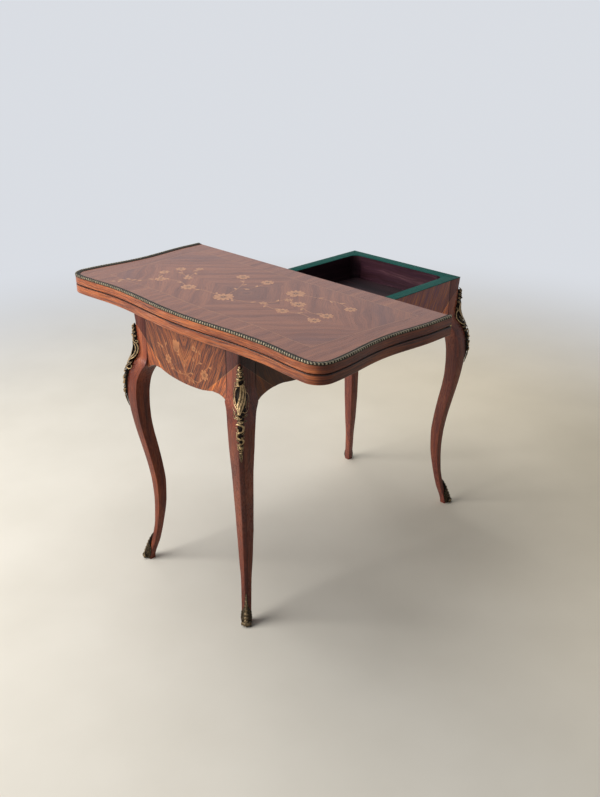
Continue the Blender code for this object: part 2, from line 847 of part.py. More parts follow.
for place in corners:
    sections = []
    low, high = ring_height(mount_first_ring), ring_height(mount_last_ring)
    for ring in range(mount_first_ring, mount_last_ring + 1):
        height = ring_height(ring)
        proud, wing = along(mount_line_shares, (height - low) / (high - low))
        spread = max(wing * mount_wing, corner_flat + mount_lip)
        sections.append((height, mounting(height, spread, mount_lip, proud * mount_proud + mount_lip)))
    casting("knee_mount", place, sections)

    sections = []
    for step in range(sabot_steps + 1):
        height = sabot_lift + (sabot_height - sabot_lift) * step / sabot_steps
        cover, toe = along(sabot_line_shares, step / sabot_steps)
        out, inward, flat = leg_section(height)
        wing = flat + (out + inward - flat) * cover
        sections.append((height, mounting(height, wing, sabot_wall, sabot_wall + toe * sabot_toe)))
    casting("sabot", place, sections)


# The table stands with the middle of its outline over the origin

bpy.context.view_layer.update()
graph = bpy.context.evaluated_depsgraph_get()
reach = []
for thing in bpy.context.scene.objects:
    if thing.type == "MESH" and not thing.hide_render:
        solid = thing.evaluated_get(graph)
        reach += [(solid.matrix_world @ Vector(corner)).x for corner in solid.bound_box]
table.location.x = -(min(reach) + max(reach)) / 2
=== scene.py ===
# %% [markdown]
# # A card table in veneer, bronze and baize
# The table stands with its folded top turned a quarter round, so that half of the frame and the
# storage well in it are open to view. Its measured parts were made in a CAD program, and they are
# loaded here as the frame of reference. This lesson gives them their finishes, and makes again, with
# finer shapes, the pieces that a plain solid can't do justice: the curved legs, the cast mounts, the
# inlaid flowers and the cloth.

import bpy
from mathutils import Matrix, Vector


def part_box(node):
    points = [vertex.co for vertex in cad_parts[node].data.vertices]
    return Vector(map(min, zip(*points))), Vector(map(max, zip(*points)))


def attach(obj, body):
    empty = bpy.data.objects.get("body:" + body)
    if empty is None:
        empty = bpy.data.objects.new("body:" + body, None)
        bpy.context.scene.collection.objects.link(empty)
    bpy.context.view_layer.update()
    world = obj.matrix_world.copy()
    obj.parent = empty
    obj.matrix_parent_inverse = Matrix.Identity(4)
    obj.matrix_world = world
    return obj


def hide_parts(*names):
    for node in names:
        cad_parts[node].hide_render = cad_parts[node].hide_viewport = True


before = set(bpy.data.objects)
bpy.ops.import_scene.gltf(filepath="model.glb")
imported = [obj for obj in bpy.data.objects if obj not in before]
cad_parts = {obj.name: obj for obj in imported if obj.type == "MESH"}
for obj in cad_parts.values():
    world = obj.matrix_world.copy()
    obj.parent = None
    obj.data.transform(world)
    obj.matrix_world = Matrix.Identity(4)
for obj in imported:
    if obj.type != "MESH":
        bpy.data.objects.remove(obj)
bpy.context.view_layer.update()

import math

import bmesh
import bpy
from mathutils import Matrix, Vector

# %% [markdown]
# The camera comes first, because everything else is judged through it. It stands a little over two
# metres in front of the table's near corner, at eye height, and looks down by about 25 degrees. Its
# place was found by fitting the table's known corners to the picture, and that is why its numbers
# aren't round. A camera could also be aimed with a Track To constraint. A fixed place and turn is
# used here, because nothing in the scene moves it.

# %% Camera
lens_mm = 39.54
camera_place = (-1.5557, -1.5262, 1.4132)
camera_heading, camera_dip, camera_roll = -0.787298, 0.428884, 0.003231


def add_object(name, data):
    """A new object in the scene, from a mesh, a lamp or a camera."""
    made = bpy.data.objects.new(name, data)
    bpy.context.scene.collection.objects.link(made)
    return made


def turned(angle, axis):
    """A turn about one axis, as a matrix."""
    return Matrix.Rotation(angle, 3, axis)


camera = add_object("camera", bpy.data.cameras.new("camera"))
camera.data.lens = lens_mm
aim = turned(camera_heading, "Z") @ turned(math.pi / 2 - camera_dip, "X") @ turned(camera_roll, "Z")
camera.matrix_world = Matrix.Translation(camera_place) @ aim.to_4x4()
bpy.context.scene.camera = camera
bpy.context.scene.view_settings.view_transform = "Standard"
print("camera at", [round(value, 3) for value in camera.matrix_world.translation])

# %% [markdown]
# Shader maths is easier to read as sums than as boxes and wires. The small class below stands for one
# number in a shader, and Python's own operators on it add the Math nodes. The second class stands for
# one finish. Its single `node` method makes any other node, sets it up, and joins what it is given.

# %% A number in a shader


class Value:
    """One number in a finish. Python's operators on it add Math nodes."""

    def __init__(self, finish, socket):
        self.finish = finish
        self.socket = socket

    def maths(self, operation, first, second):
        return self.finish.node("ShaderNodeMath", {"operation": operation}, {0: first, 1: second})

    def __add__(self, other):
        return self.maths("ADD", self, other)

    def __sub__(self, other):
        return self.maths("SUBTRACT", self, other)

    def __rsub__(self, other):
        return self.maths("SUBTRACT", other, self)

    def __mul__(self, other):
        return self.maths("MULTIPLY", self, other)

    def __truediv__(self, other):
        return self.maths("DIVIDE", self, other)

    def __abs__(self):
        return self.maths("ABSOLUTE", self, 0.0)

    def or_more(self, other):
        """The larger of this value and another."""
        return self.maths("MAXIMUM", self, other)

    __radd__ = __add__
    __rmul__ = __mul__


print("shader numbers ready")

# %% A finish


class Finish:
    """A material, with one method that adds a node to it."""

    def __init__(self, name):
        self.material = bpy.data.materials.new(name)
        self.material.use_nodes = True
        self.nodes = self.material.node_tree.nodes
        self.links = self.material.node_tree.links
        self.shader = self.nodes["Principled BSDF"]

    def join(self, socket, value):
        if isinstance(value, Value):
            self.links.new(value.socket, socket)
        else:
            socket.default_value = value

    def node(self, kind, settings=None, sockets=None, output=0):
        made = self.nodes.new(kind)
        for name, value in (settings or {}).items():
            if name == "stops":
                spare = made.color_ramp.elements
                while len(spare) < len(value):
                    spare.new(0.5)
                for stop, (place, colour) in zip(spare, value):
                    stop.position = place
                    stop.color = (*colour, 1.0)
            else:
                setattr(made, name, value)
        for name, value in (sockets or {}).items():
            self.join(made.inputs[name], value)
        return Value(self, made.outputs[output])

    def wear(self, **sockets):
        """Sets the main shader's sockets, which are named with _ for a space."""
        for name, value in sockets.items():
            if name == "Base_Color" and not isinstance(value, Value):
                value = (*value, 1.0)
            self.join(self.shader.inputs[name.replace("_", " ")], value)

    def ramp(self, value, *stops):
        return self.node("ShaderNodeValToRGB", {"stops": stops}, {0: value})

    def blend(self, share, first, second, mode="MIX"):
        """A colour between two others, or one laid over another in a blending mode."""
        first, second = (c if isinstance(c, Value) else (*c, 1.0) for c in (first, second))
        settings = {"data_type": "RGBA", "blend_type": mode}
        return self.node("ShaderNodeMix", settings, {0: share, 6: first, 7: second}, output=2)

    def rise(self, value, low, high):
        """0 below low, 1 above high, and a smooth step between."""
        settings = {"interpolation_type": "SMOOTHSTEP"}
        return self.node("ShaderNodeMapRange", settings, {"Value": value, 1: low, 2: high})

    def space(self):
        """The object's own coordinates, as three values in metres."""
        place = self.node("ShaderNodeTexCoord", output="Object")
        return [self.node("ShaderNodeSeparateXYZ", None, {0: place}, axis) for axis in range(3)]

    def attribute(self, name):
        """A number that the mesh keeps on each of its corners."""
        return self.node("ShaderNodeAttribute", {"attribute_name": name}, output="Fac")

    def cells(self, place, size, detail=2.0, rough=0.5, warp=0.0):
        """Noise from 0 to 1. Its clouds have one size in metres, or a size along each axis."""
        sizes = size if isinstance(size, tuple) else (size, size, size)
        scaled = [value / length for value, length in zip(place, sizes)]
        vector = self.node("ShaderNodeCombineXYZ", None, dict(enumerate(scaled)))
        sockets = {"Vector": vector, "Scale": 1.0, "Detail": detail, "Roughness": rough}
        sockets["Distortion"] = warp
        return self.node("ShaderNodeTexNoise", None, sockets)

    def dent(self, height, depth, strength=1.0):
        """A bump from a value, as a normal."""
        sockets = {"Strength": strength, "Distance": depth, "Height": height}
        return self.node("ShaderNodeBump", None, sockets)


print("finishes ready")

# %% [markdown]
# The floor and the light are a plain photographer's set. A wide disc of pale stone carries the
# shadow, and its colour is painted lighter and a little warmer on the side away from the window, a
# painted light where the lamp's light falls off. Far from the table it fades into the pale wall of the
# background, but only for rays that come from the camera, a mirror or glass, so that the fade adds no
# light of its own. A curved paper sweep would do the same job, but it would stand in the way when the
# camera walks round the table.

# %% Floor
floor_radius, floor_points = 12.0, 96
fade_start, fade_end = 1.15, 3.1
wall_white = (0.70, 0.725, 0.77)
background_rays = ("Is Camera Ray", "Is Glossy Ray", "Is Transmission Ray")

floor_form = bmesh.new()
bmesh.ops.create_circle(floor_form, cap_ends=True, radius=floor_radius, segments=floor_points)
floor_mesh = bpy.data.meshes.new("floor")
floor_form.to_mesh(floor_mesh)
floor_form.free()
add_object("floor", floor_mesh)

pale_stone = Finish("pale_stone")
stone_x, stone_y, stone_z = pale_stone.space()
mottle = pale_stone.cells((stone_x, stone_y, stone_z), 0.30, detail=5.0)
stone_colour = pale_stone.ramp(mottle, (0.3, (0.68, 0.64, 0.56)), (0.7, (0.73, 0.69, 0.61)))
# Painted light: the stone is lighter and warmer away from the window, where the lamp's light falls off.
painted_light_far_side = pale_stone.rise(stone_x - stone_y * 0.4, -0.2, 1.2)
stone_colour = pale_stone.blend(painted_light_far_side, stone_colour, (1.24, 1.17, 1.04), "MULTIPLY")
pale_stone.wear(Base_Color=stone_colour, Roughness=0.75, Specular_IOR_Level=0.2)
squares = stone_x * stone_x + stone_y * stone_y
distance = pale_stone.node("ShaderNodeMath", {"operation": "SQRT"}, {0: squares})


def seen_directly(finish):
    """1 for rays from the camera, from a mirror or through glass, and 0 for rays that light things."""
    camera_ray, glossy_ray, clear_ray = (
        finish.node("ShaderNodeLightPath", output=name) for name in background_rays
    )
    return camera_ray.or_more(glossy_ray).or_more(clear_ray)


white = pale_stone.node("ShaderNodeEmission", None, {"Color": (*wall_white, 1.0), "Strength": 1.0})
fade = pale_stone.rise(distance, fade_start, fade_end) * seen_directly(pale_stone)
stone = Value(pale_stone, pale_stone.shader.outputs[0])
both = pale_stone.node("ShaderNodeMixShader", None, {0: fade, 1: stone, 2: white})
pale_stone.join(pale_stone.nodes["Material Output"].inputs["Surface"], both)
floor_mesh.materials.append(pale_stone.material)
print("floor radius", floor_radius, "and faded out at", fade_end)

# %% [markdown]
# In the picture the light comes through a large window on the left, so the faces that look left glow
# and the faces that look right go dark. One big soft lamp stands for the window. The world gives a
# weak, slightly blue fill for the shadows, and shows as a pale wall behind the table.

# %% Light
fill_colour, fill_strength = (0.86, 0.93, 1.0), 0.07
world = bpy.data.worlds.new("studio")
world.use_nodes = True
bpy.context.scene.world = world


class Surround(Finish):
    """The world's node tree, used in the same way as a finish."""

    def __init__(self, tree):
        self.nodes = tree.nodes
        self.links = tree.links


sky = Surround(world.node_tree)
fill = sky.node("ShaderNodeBackground", None, {"Color": (*fill_colour, 1.0), "Strength": fill_strength})
backdrop = sky.node("ShaderNodeBackground", None, {"Color": (*wall_white, 1.0), "Strength": 1.0})
mixed = sky.node("ShaderNodeMixShader", None, {0: seen_directly(sky), 1: fill, 2: backdrop})
sky.join(sky.nodes["World Output"].inputs["Surface"], mixed)


def lamp(name, place, aim, size, power, colour):
    """A square soft lamp that points at a spot."""
    made = add_object(name, bpy.data.lights.new(name, "AREA"))
    made.data.shape = "SQUARE"
    made.data.size = size
    made.data.energy = power
    made.data.color = colour
    made.location = place
    made.rotation_euler = (Vector(aim) - Vector(place)).to_track_quat("-Z", "Y").to_euler()


lamp("window", place=(-3.0, 1.5, 2.1), aim=(0, 0, 0.55), size=2.4, power=145.0, colour=(1.0, 0.99, 0.97))
lamp("ceiling", place=(-0.2, 1.1, 3.3), aim=(0, 0, 0.5), size=2.8, power=72.0, colour=(1.0, 1.0, 1.0))

# %% [markdown]
# The sizes below are the ones that the measured parts were drawn from. The finer pieces repeat them,
# so that each lands exactly on the solid that it stands for. The four corners are kept with the signs
# of X and Y there, and the four sides of the frame with their quarter turns from the front and their
# distance from the middle.

# %% Sizes in metres
frame_length, frame_width, rim_height = 0.810, 0.390, 0.7175
wood_top = 0.7162
apron_thickness = 0.024
long_apron_drop, short_apron_drop = 0.126, 0.133
post_side, knee_reach, corner_flat = 0.046, 0.0245, 0.0067
lining_thickness, well_corner_radius = 0.009, 0.022
floor_bottom = 0.6405
hinge_line_x, seam_height = 0.009, 0.7408
leaf_depth, leaf_length, leaf_thickness = 0.4356, 0.899, 0.0220
half_seam = 0.001
side_hollow, front_hollow, corner_drop, corner_radius = 0.0133, 0.0136, 0.0046, 0.042
playing_border, baize_recess = 0.030, 0.0012
edging_width, edging_proud, edging_rebate = 0.012, 0.0032, 0.0015
clearance, cutter_run, hair = 0.0003, 0.010, 1e-6
half_x, half_y = frame_length / 2, frame_width / 2
post_x, post_y = half_x - post_side, half_y - post_side
inner_x, inner_y = half_x - apron_thickness, half_y - apron_thickness
well_x, well_y = inner_x - lining_thickness, inner_y - lining_thickness
leaf_half = leaf_length / 2
leaf_middle_x = hinge_line_x - leaf_depth / 2
corners = {"front_left": (-1, -1), "front_right": (1, -1), "back_left": (-1, 1), "back_right": (1, 1)}
frame_sides = {"front": (0, half_y), "back": (2, half_y), "right": (1, half_x), "left": (3, half_x)}
print("frame", frame_length, "x", frame_width, "and leaf", leaf_depth, "x", leaf_length)

# %% [markdown]
# Two helpers make nearly every shape here. `stack` starts from one flat face and extrudes it from
# ring to ring, as a potter raises a wall, which gives a closed solid with even quads. A ready-made
# cube could be subdivided and sculpted instead, but rings follow a measured line exactly. `piece`
# turns a finished form into an object with its normals outward, and says which body it rides on.

# %% Shape helpers


def stack(rings, form=None, shade=None):
    """A closed solid, drawn by extruding its first ring's face through all the others.

    A point's fourth number, where it has one, is kept on its corner under the name in shade.
    """
    fresh = bmesh.new()
    layer = fresh.verts.layers.float.new(shade) if shade else None
    face = fresh.faces.new([fresh.verts.new(point[:3]) for point in rings[0]])
    for number, ring in enumerate(rings):
        if number:
            lifted = bmesh.ops.extrude_face_region(fresh, geom=[face])["geom"]
            if number > 1:
                bmesh.ops.delete(fresh, geom=[face], context="FACES_ONLY")  # it is inside the wall
            face = next(item for item in lifted if isinstance(item, bmesh.types.BMFace))
        for corner, point in zip(face.verts, ring):
            corner.co = point[:3]
            if shade:
                corner[layer] = point[3]
    if form is None:
        return fresh
    spare = bpy.data.meshes.new("spare")
    fresh.to_mesh(spare)
    fresh.free()
    form.from_mesh(spare)
    bpy.data.meshes.remove(spare)
    return form


def prism(outline, low, high):
    """A flat outline in X and Y, drawn up from low to high."""
    return stack([[(x, y, z) for x, y in outline] for z in (low, high)])


def box(x, y, z):
    """A block between the lower and higher value of each axis."""
    return prism(((x[0], y[0]), (x[1], y[0]), (x[1], y[1]), (x[0], y[1])), *z)


def piece(name, form, finishes, body, replaces=(), sharp=35):
    """An object from a form, smooth except where its faces meet at more than a sharp angle."""
    bmesh.ops.recalc_face_normals(form, faces=form.faces)
    mesh = bpy.data.meshes.new(name)
    form.to_mesh(mesh)
    form.free()
    for finish in finishes:
        mesh.materials.append(finish.material)
    mesh.shade_smooth()
    mesh.set_sharp_from_angle(angle=math.radians(sharp))
    made = add_object(name, mesh)
    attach(made, body)
    if replaces:
        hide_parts(*replaces)
    print(name, "has", len(mesh.polygons), "faces")
    return made


print("shape helpers ready")

# %% [markdown]
# Two more helpers work on a form once it is made. `carve` cuts other forms out of a piece, as a joiner
# cuts a housing. It uses Boolean modifiers and keeps only their result, so that nothing is left to
# follow when a joint moves. `ease` rounds some edges, as a few strokes of a file would.

# %% Cutting and easing


def carve(made, *tools):
    """Cuts forms out of a piece, and keeps only the result."""
    cutters = []
    for tool in tools:
        bmesh.ops.recalc_face_normals(tool, faces=tool.faces)
        mesh = bpy.data.meshes.new("cutter")
        tool.to_mesh(mesh)
        tool.free()
        cutters.append(add_object("cutter", mesh))
        modifier = made.modifiers.new("cut", "BOOLEAN")
        modifier.operation = "DIFFERENCE"
        modifier.solver = "EXACT"
        modifier.object = cutters[-1]
    finished = made.evaluated_get(bpy.context.evaluated_depsgraph_get())
    made.data = bpy.data.meshes.new_from_object(finished)
    made.modifiers.clear()
    for cutter in cutters:
        bpy.data.objects.remove(cutter)
    print(made.name, "carved, now", len(made.data.polygons), "faces")


def ease(form, edges, width):
    """Rounds some of a form's edges a little, with two narrow faces each."""
    bmesh.ops.bevel(form, geom=edges, offset=width, segments=2, profile=0.5, affect="EDGES", material=-1)


print("cutting helpers ready")

# %% [markdown]
# The curved parts follow a few measured places. `along` draws a smooth line through the rows of a table
# and never swings past them, as the outline of a leg needs. `smooth_path` draws one through free points
# and may swing a little, which suits stems and scrolls. Bezier curves could do both, but they would
# have to be sampled again for every ring.

# %% Smooth lines


def along(table, share):
    """The row of a table at a share, on a smooth line that never swings past its rows."""
    upper = 1
    while upper < len(table) - 1 and table[upper][0] < share:
        upper += 1
    low, high = table[upper - 1], table[upper]
    run = high[0] - low[0]
    part = (share - low[0]) / run

    def slope(index, column):
        if index in (0, len(table) - 1):
            return 0.0
        before, here, after = table[index - 1 : index + 2]
        left = (here[column] - before[column]) / (here[0] - before[0])
        right = (after[column] - here[column]) / (after[0] - here[0])
        if left * right <= 0:
            return 0.0
        return 2 * left * right / (left + right)

    values = []
    for column in range(1, len(low)):
        start, end = slope(upper - 1, column) * run, slope(upper, column) * run
        values.append(
            low[column] * (1 + 2 * part) * (1 - part) ** 2
            + start * part * (1 - part) ** 2
            + high[column] * (3 - 2 * part) * part**2
            - end * part**2 * (1 - part)
        )
    return values


def smooth_path(points, count):
    """Evenly many places on a smooth line through the points, each a Vector of any length."""
    padded = [points[0], *points, points[-1]]
    made = []
    for k in range(count):
        place = k / (count - 1) * (len(points) - 1)
        low = min(int(place), len(points) - 2)
        t = place - low
        a, b, c, d = (Vector(padded[low + n]) for n in range(4))
        square, cube = 2 * a - 5 * b + 4 * c - d, 3 * b - a - 3 * c + d
        made.append((2 * b + (c - a) * t + square * t**2 + cube * t**3) / 2)
    return made


print("line helpers ready")

# %% Turns, circles and eased corners


def from_centre(centre, turn, reach, aside=0.0):
    """The place at a reach from a centre in the direction of a turn, and aside from that line."""
    x = centre[0] + reach * math.cos(turn) - aside * math.sin(turn)
    return x, centre[1] + reach * math.sin(turn) + aside * math.cos(turn)


def circle(centre, radius, count):
    """Points at even steps round a circle."""
    return [from_centre(centre, math.tau * step / count, radius) for step in range(count)]


def rounded(outline, cuts, steps=2):
    """The outline with each corner eased by its own cut, as a short curve of steps."""
    eased = []
    for k, corner in enumerate(outline):
        before, after = outline[k - 1], outline[(k + 1) % len(outline)]
        corner = Vector(corner)
        first = corner + (Vector(before) - corner).normalized() * cuts[k]
        last = corner + (Vector(after) - corner).normalized() * cuts[k]
        for step in range(steps + 1):
            t = step / steps
            eased.append(first * (1 - t) ** 2 + corner * 2 * t * (1 - t) + last * t**2)
    return eased


print("a circle of four points:", [[round(value, 2) for value in spot] for spot in circle((0, 0), 1, 4)])

# %% [markdown]
# The table is veneered in a rosewood with an orange-brown ground and purple-black lines. All of its
# wood comes from one recipe: wandering growth lines, broad bands of light and dark, a few near-black
# streaks, fine lines, and pores that also dent the polish. What changes from piece to piece is the
# lay of the grain, so the recipe asks for a distance along it, a distance across it and a depth. A
# picture of wood could be wrapped on instead, but it would stretch on the curved legs and repeat.
#
# The tones are the wood's dark, middle and light colours. A smaller size makes a finer figure, wild
# lets the growth lines wander more, curl combs dark lines into it, and marks is a function that may
# change the colour before the pores go on.

# %% Wood recipe
streak_colour, pore_colour = (0.042, 0.014, 0.017), (0.02, 0.008, 0.006)


def wood(name, lay, tones, streaks=0.62, gloss=0.30, size=1.0, curl=0.0, marks=None, polish=0.07, wild=1.0):
    """A polished wood. The lay is a function that gives distance along, across and deep."""
    finish = Finish(name)
    length, width, depth = lay(finish)

    def figure(across, long, wide, *habits, **more):
        """Noise drawn out along the grain, so long and so wide."""
        return finish.cells((length, across, depth), (long, wide, wide), *habits, **more)

    wander = figure(width, 0.16 * size, 0.07 * size) - 0.5
    line = width + wander * (0.016 * size * wild)
    band = figure(line, 0.40 * size, 0.022 * size, 3.0, 0.6)
    fine = figure(line, 0.07 * size, 0.0017 * size, 3.0, 0.7)
    dark = figure(line, 0.34 * size, 0.0075 * size, 2.0, 0.55)
    pore = figure(width, 0.006, 0.0005, 1.0)
    shown = band + (fine - 0.5) * 0.45
    colour = finish.ramp(shown, (0.28, tones[0]), (0.5, tones[1]), (0.74, tones[2]))
    colour = finish.blend(finish.rise(dark, streaks, streaks + 0.13) * 0.8, colour, streak_colour)
    if curl:
        comb = figure(line, 0.05, 0.0021, 2.0, 0.6, warp=0.3)
        colour = finish.blend(finish.rise(comb, 0.46, 0.56) * curl, colour, streak_colour)
    if marks:
        colour = marks(finish, colour, length, line, depth)
    pit = finish.rise(pore, 0.60, 0.74)
    colour = finish.blend(pit * 0.35, colour, pore_colour)
    rough = gloss + (fine - 0.5) * 0.14 + pit * 0.10
    finish.wear(
        Base_Color=colour,
        Roughness=rough,
        Specular_IOR_Level=0.22,
        Coat_Weight=polish,
        Coat_Roughness=0.18,
        Normal=finish.dent(fine - pit * 0.7, 0.00012, 0.6),
    )
    return finish


def straight(order):
    """Grain along one of the object's axes. The order says which run along, across and deep."""

    def lay(finish):
        place = finish.space()
        return [place["xyz".index(axis)] for axis in order]

    return lay


print("wood recipe ready")

# %% [markdown]
# The frame's corners are veneered in two woods that meet on a slanting mitre, purple above it and
# orange below, with a thin pale line between and a dark joint where the post ends. The half of the
# frame over the storage well is painted lighter, a painted light, and the half that the top covers is
# painted darker, a painted shade under the top, most of all in the purple near the posts. All of this
# lies in places that the object's own coordinates give, so it is drawn by the finish, where separate
# slips of veneer would add nothing that shows.

# %% Marks of the frame's corners
mitre_height, mitre_fall, hairline = 0.694, 0.854, 0.0004
veneer_foot, veneer_full, post_full = 0.578, 0.600, 0.640
joint_width, joint_blur, line_width, line_blur = 0.0008, 0.0050, 0.0003, 0.0007
# The painted light over the storage well starts and is full at these places along X.
painted_light_start, painted_light_full = -0.02, 0.10
purple, orange, post_orange = (0.46, 0.36, 0.46), (2.0, 1.8, 1.3), (1.85, 2.1, 1.9)


def painted_light_half(finish):
    """1 over the storage well and 0 under the folded top: the mask of the painted light on the open half and
    the painted shade under the top.
    """
    return finish.rise(finish.space()[0], painted_light_start, painted_light_full)


def corner_marks(finish, colour, length, line, depth, paler=orange):
    """The mitred veneer of the frame's corners: purple above a slanting line, orange below it."""
    x, y, z = finish.space()
    aside = (half_x - abs(x)).or_more(half_y - abs(y))
    level = z - mitre_height + aside * mitre_fall
    above = finish.rise(level, -hairline, hairline)
    veneered = finish.rise(z, veneer_foot, veneer_full)
    near = (1 - finish.rise(aside, 0.035, 0.110)) * above
    # Near the posts the purple is painted darker under the folded top than over the well: painted shade.
    colour = finish.blend(near * (0.8 - painted_light_half(finish) * 0.6), colour, purple, "MULTIPLY")
    colour = finish.blend((1 - above) * veneered * 0.8, colour, paler, "MULTIPLY")
    joint = (1 - finish.rise(abs(aside - post_side), joint_width, joint_blur)) * veneered
    colour = finish.blend(joint * 0.75, colour, (0.36, 0.28, 0.42), "MULTIPLY")
    edge = (1 - finish.rise(abs(level), line_width, line_blur)) * veneered
    return finish.blend(edge * 0.6, colour, (0.40, 0.20, 0.08))


print("the mitre meets the corner", mitre_height, "m up and falls", mitre_fall, "m for each metre inwards")

# %% Wood of the legs


def post_marks(finish, colour, length, line, depth):
    """The corner's marks on a leg, with painted shade on its long side under the top, painted light over the
    well, and its arris dark.
    """
    colour = corner_marks(finish, colour, length, line, depth, paler=post_orange)
    x, y, z = finish.space()
    # Painted shade: the long side of each post under the folded top is darkened.
    long_side = finish.rise(abs(y) - abs(x) - (half_y - half_x), 0.001, 0.004)
    shaded = long_side * finish.rise(z, veneer_foot, post_full) * (1 - painted_light_half(finish))
    colour = finish.blend(shaded, colour, (0.45, 0.40, 0.50), "MULTIPLY")
    # Painted light: the legs over the storage well are lightened.
    colour = finish.blend(painted_light_half(finish), colour, (1.45, 1.85, 2.5), "MULTIPLY")
    return finish.blend(finish.attribute("arris"), colour, (0.46, 0.38, 0.38), "MULTIPLY")


leg_tones = ((0.072, 0.017, 0.011), (0.178, 0.037, 0.017), (0.280, 0.069, 0.026))
leg_wood = wood("leg_wood_polished", straight("zxy"), leg_tones, 0.66, 0.28, curl=0.35, marks=post_marks)
print("leg wood has", len(leg_wood.nodes), "nodes")

# %% [markdown]
# Each leg is one length of wood with its corner post, and it bows out on the table's diagonal. Its
# section is a square with the outer corner cut flat, and a table gives how far that section stands
# out and in at each height. The rings are set close, with their corners eased, so that the polish
# catches the arris. The flat itself is darker than the faces, and an attribute named arris tells the
# finish where it is. The right-hand posts are hollowed for the well's rounded corners.

# %% Section of a leg
leg_line_shares = (
    (0.000, 0.500, 0.115, 0.52),
    (0.090, 0.000, 0.400, 0.55),
    (0.170, -0.300, 0.600, 0.70),
    (0.265, -0.375, 0.765, 0.92),
    (0.340, -0.290, 0.795, 1.00),
    (0.405, -0.100, 0.728, 1.00),
    (0.490, 0.273, 0.583, 1.00),
    (0.552, 0.567, 0.459, 1.00),
    (0.605, 0.780, 0.389, 1.00),
    (0.652, 0.920, 0.374, 1.00),
    (0.700, 1.000, 0.394, 1.00),
    (0.750, 0.945, 0.479, 1.00),
    (0.775, 0.820, 0.573, 1.00),
    (0.794, 0.665, 0.689, 1.00),
    (0.808, 0.530, 0.801, 1.00),
    (0.820, 0.400, 0.946, 1.00),
    (0.826, 0.335, 1.000, 1.00),
    (0.850, 0.100, 1.000, 1.00),
    (0.885, 0.000, 1.000, 1.00),
    (0.960, 0.000, 1.000, 0.85),
    (1.000, 0.000, 1.000, 0.30),
)


def leg_section(height):
    """How far a leg stands out and in from the frame's faces, and the cut of its corner flat."""
    out, inward, flat = along(leg_line_shares, min(height / wood_top, 1.0))
    return out * knee_reach, inward * post_side, flat * corner_flat


bulges = [round(leg_section(height)[0] * 1000, 1) for height in (0.0, 0.2, 0.5, 0.7)]
print("a leg stands out", bulges, "mm at the foot, the ankle, the knee and the post")

# %% Legs
leg_rings = 120
leg_ease, flat_ease_share, arris_guard_share = 0.0016, 0.35, 0.06


def leg_form(side_x, side_y):
    """A leg whose arris attribute is 1 on the flat along its outer corner and 0 on its faces."""
    rings = []
    for number in range(leg_rings + 1):
        height = wood_top * number / leg_rings
        out, inward, flat = leg_section(height)
        outline = ((out, -inward), (out, out - flat), (out - flat, out), (-inward, out), (-inward, -inward))
        arris = min(leg_ease, flat * flat_ease_share)
        section = rounded(outline, (leg_ease, arris, arris, leg_ease, leg_ease))
        before = section[3].lerp(section[2], arris_guard_share)
        after = section[8].lerp(section[9], arris_guard_share)
        section = section[:3] + [before] + section[3:9] + [after] + section[9:]
        dark = [0, 0, 0, 0, 0.7, 1, 1, 1, 1, 0.7] + [0] * 7
        ring = [(side_x * (half_x + p.x), side_y * (half_y + p.y), height) for p in section]
        rings.append([(*point, shade) for point, shade in zip(ring, dark)])
    return stack(rings, shade="arris")


def well_outline(grow, left, steps=12):
    """The well's plan, square at the left and rounded at the right, grown by a wall."""
    radius = well_corner_radius + grow
    centre_x, centre_y = well_x - well_corner_radius, well_y - well_corner_radius
    points = [(left, -centre_y - radius)]
    for side in (-1, 1):
        for step in range(steps + 1):
            turn = math.pi / 2 * (step / steps - (side < 0))
            points.append(from_centre((centre_x, side * centre_y), turn, radius))
    points.append((left, centre_y + radius))
    return points


for place, (side_x, side_y) in corners.items():
    form = leg_form(side_x, side_y)
    leg = piece("turned_leg_" + place, form, [leg_wood], "frame", ["leg_" + place])
    if side_x > 0:
        carve(leg, prism(well_outline(lining_thickness, 0), floor_bottom - clearance, rim_height))

# %% [markdown]
# An apron is a board with a straight top and a shaped lower edge. Its veneer is laid in two halves
# that mirror each other about the middle, with the grain falling steeply towards it. The mirrored lay
# is one absolute value in the recipe. The two long aprons are painted darker, a painted shade under
# the folded top, and painted lighter over the well, a painted light. The lower edge is eased with a
# bevel, as a file would do it.

# %% Veneer of the aprons
fall = math.radians(64)


def apron_lay(axis):
    """Grain that falls towards the middle of a board that runs along X (0) or Y (1)."""

    def lay(finish):
        place = finish.space()
        aside, deep, height = abs(place[axis]), place[1 - axis], place[2]
        length = aside * math.cos(fall) + height * math.sin(fall)
        width = height * math.cos(fall) - aside * math.sin(fall)
        return length, width, deep

    return lay


def dimmed(tones, share):
    """Tones of a wood, all darker by one share."""
    return [[shade * share for shade in tone] for tone in tones]


def long_marks(finish, colour, length, line, depth):
    """The corner's marks, and painted light over the storage well, which lifts the long apron's painted shade
    there.
    """
    colour = corner_marks(finish, colour, length, line, depth)
    # Painted light: the half of a long apron over the well is lightened.
    return finish.blend(painted_light_half(finish), colour, (5.0, 5.4, 7.6), "MULTIPLY")


apron_tones = ((0.150, 0.038, 0.018), (0.300, 0.082, 0.026), (0.450, 0.145, 0.043))
apron_habits = {"streaks": 0.66, "size": 0.6, "curl": 0.85}
short_veneer = wood("short_apron_veneer", apron_lay(1), apron_tones, marks=corner_marks, **apron_habits)
# Painted shade: the long aprons take darker tones, for the shade under the folded top.
long_tones_painted_shade = dimmed(apron_tones, 0.3)
long_veneer = wood("long_apron_veneer", apron_lay(0), long_tones_painted_shade, marks=long_marks, **apron_habits)
print("apron veneer has", len(long_veneer.nodes), "nodes")

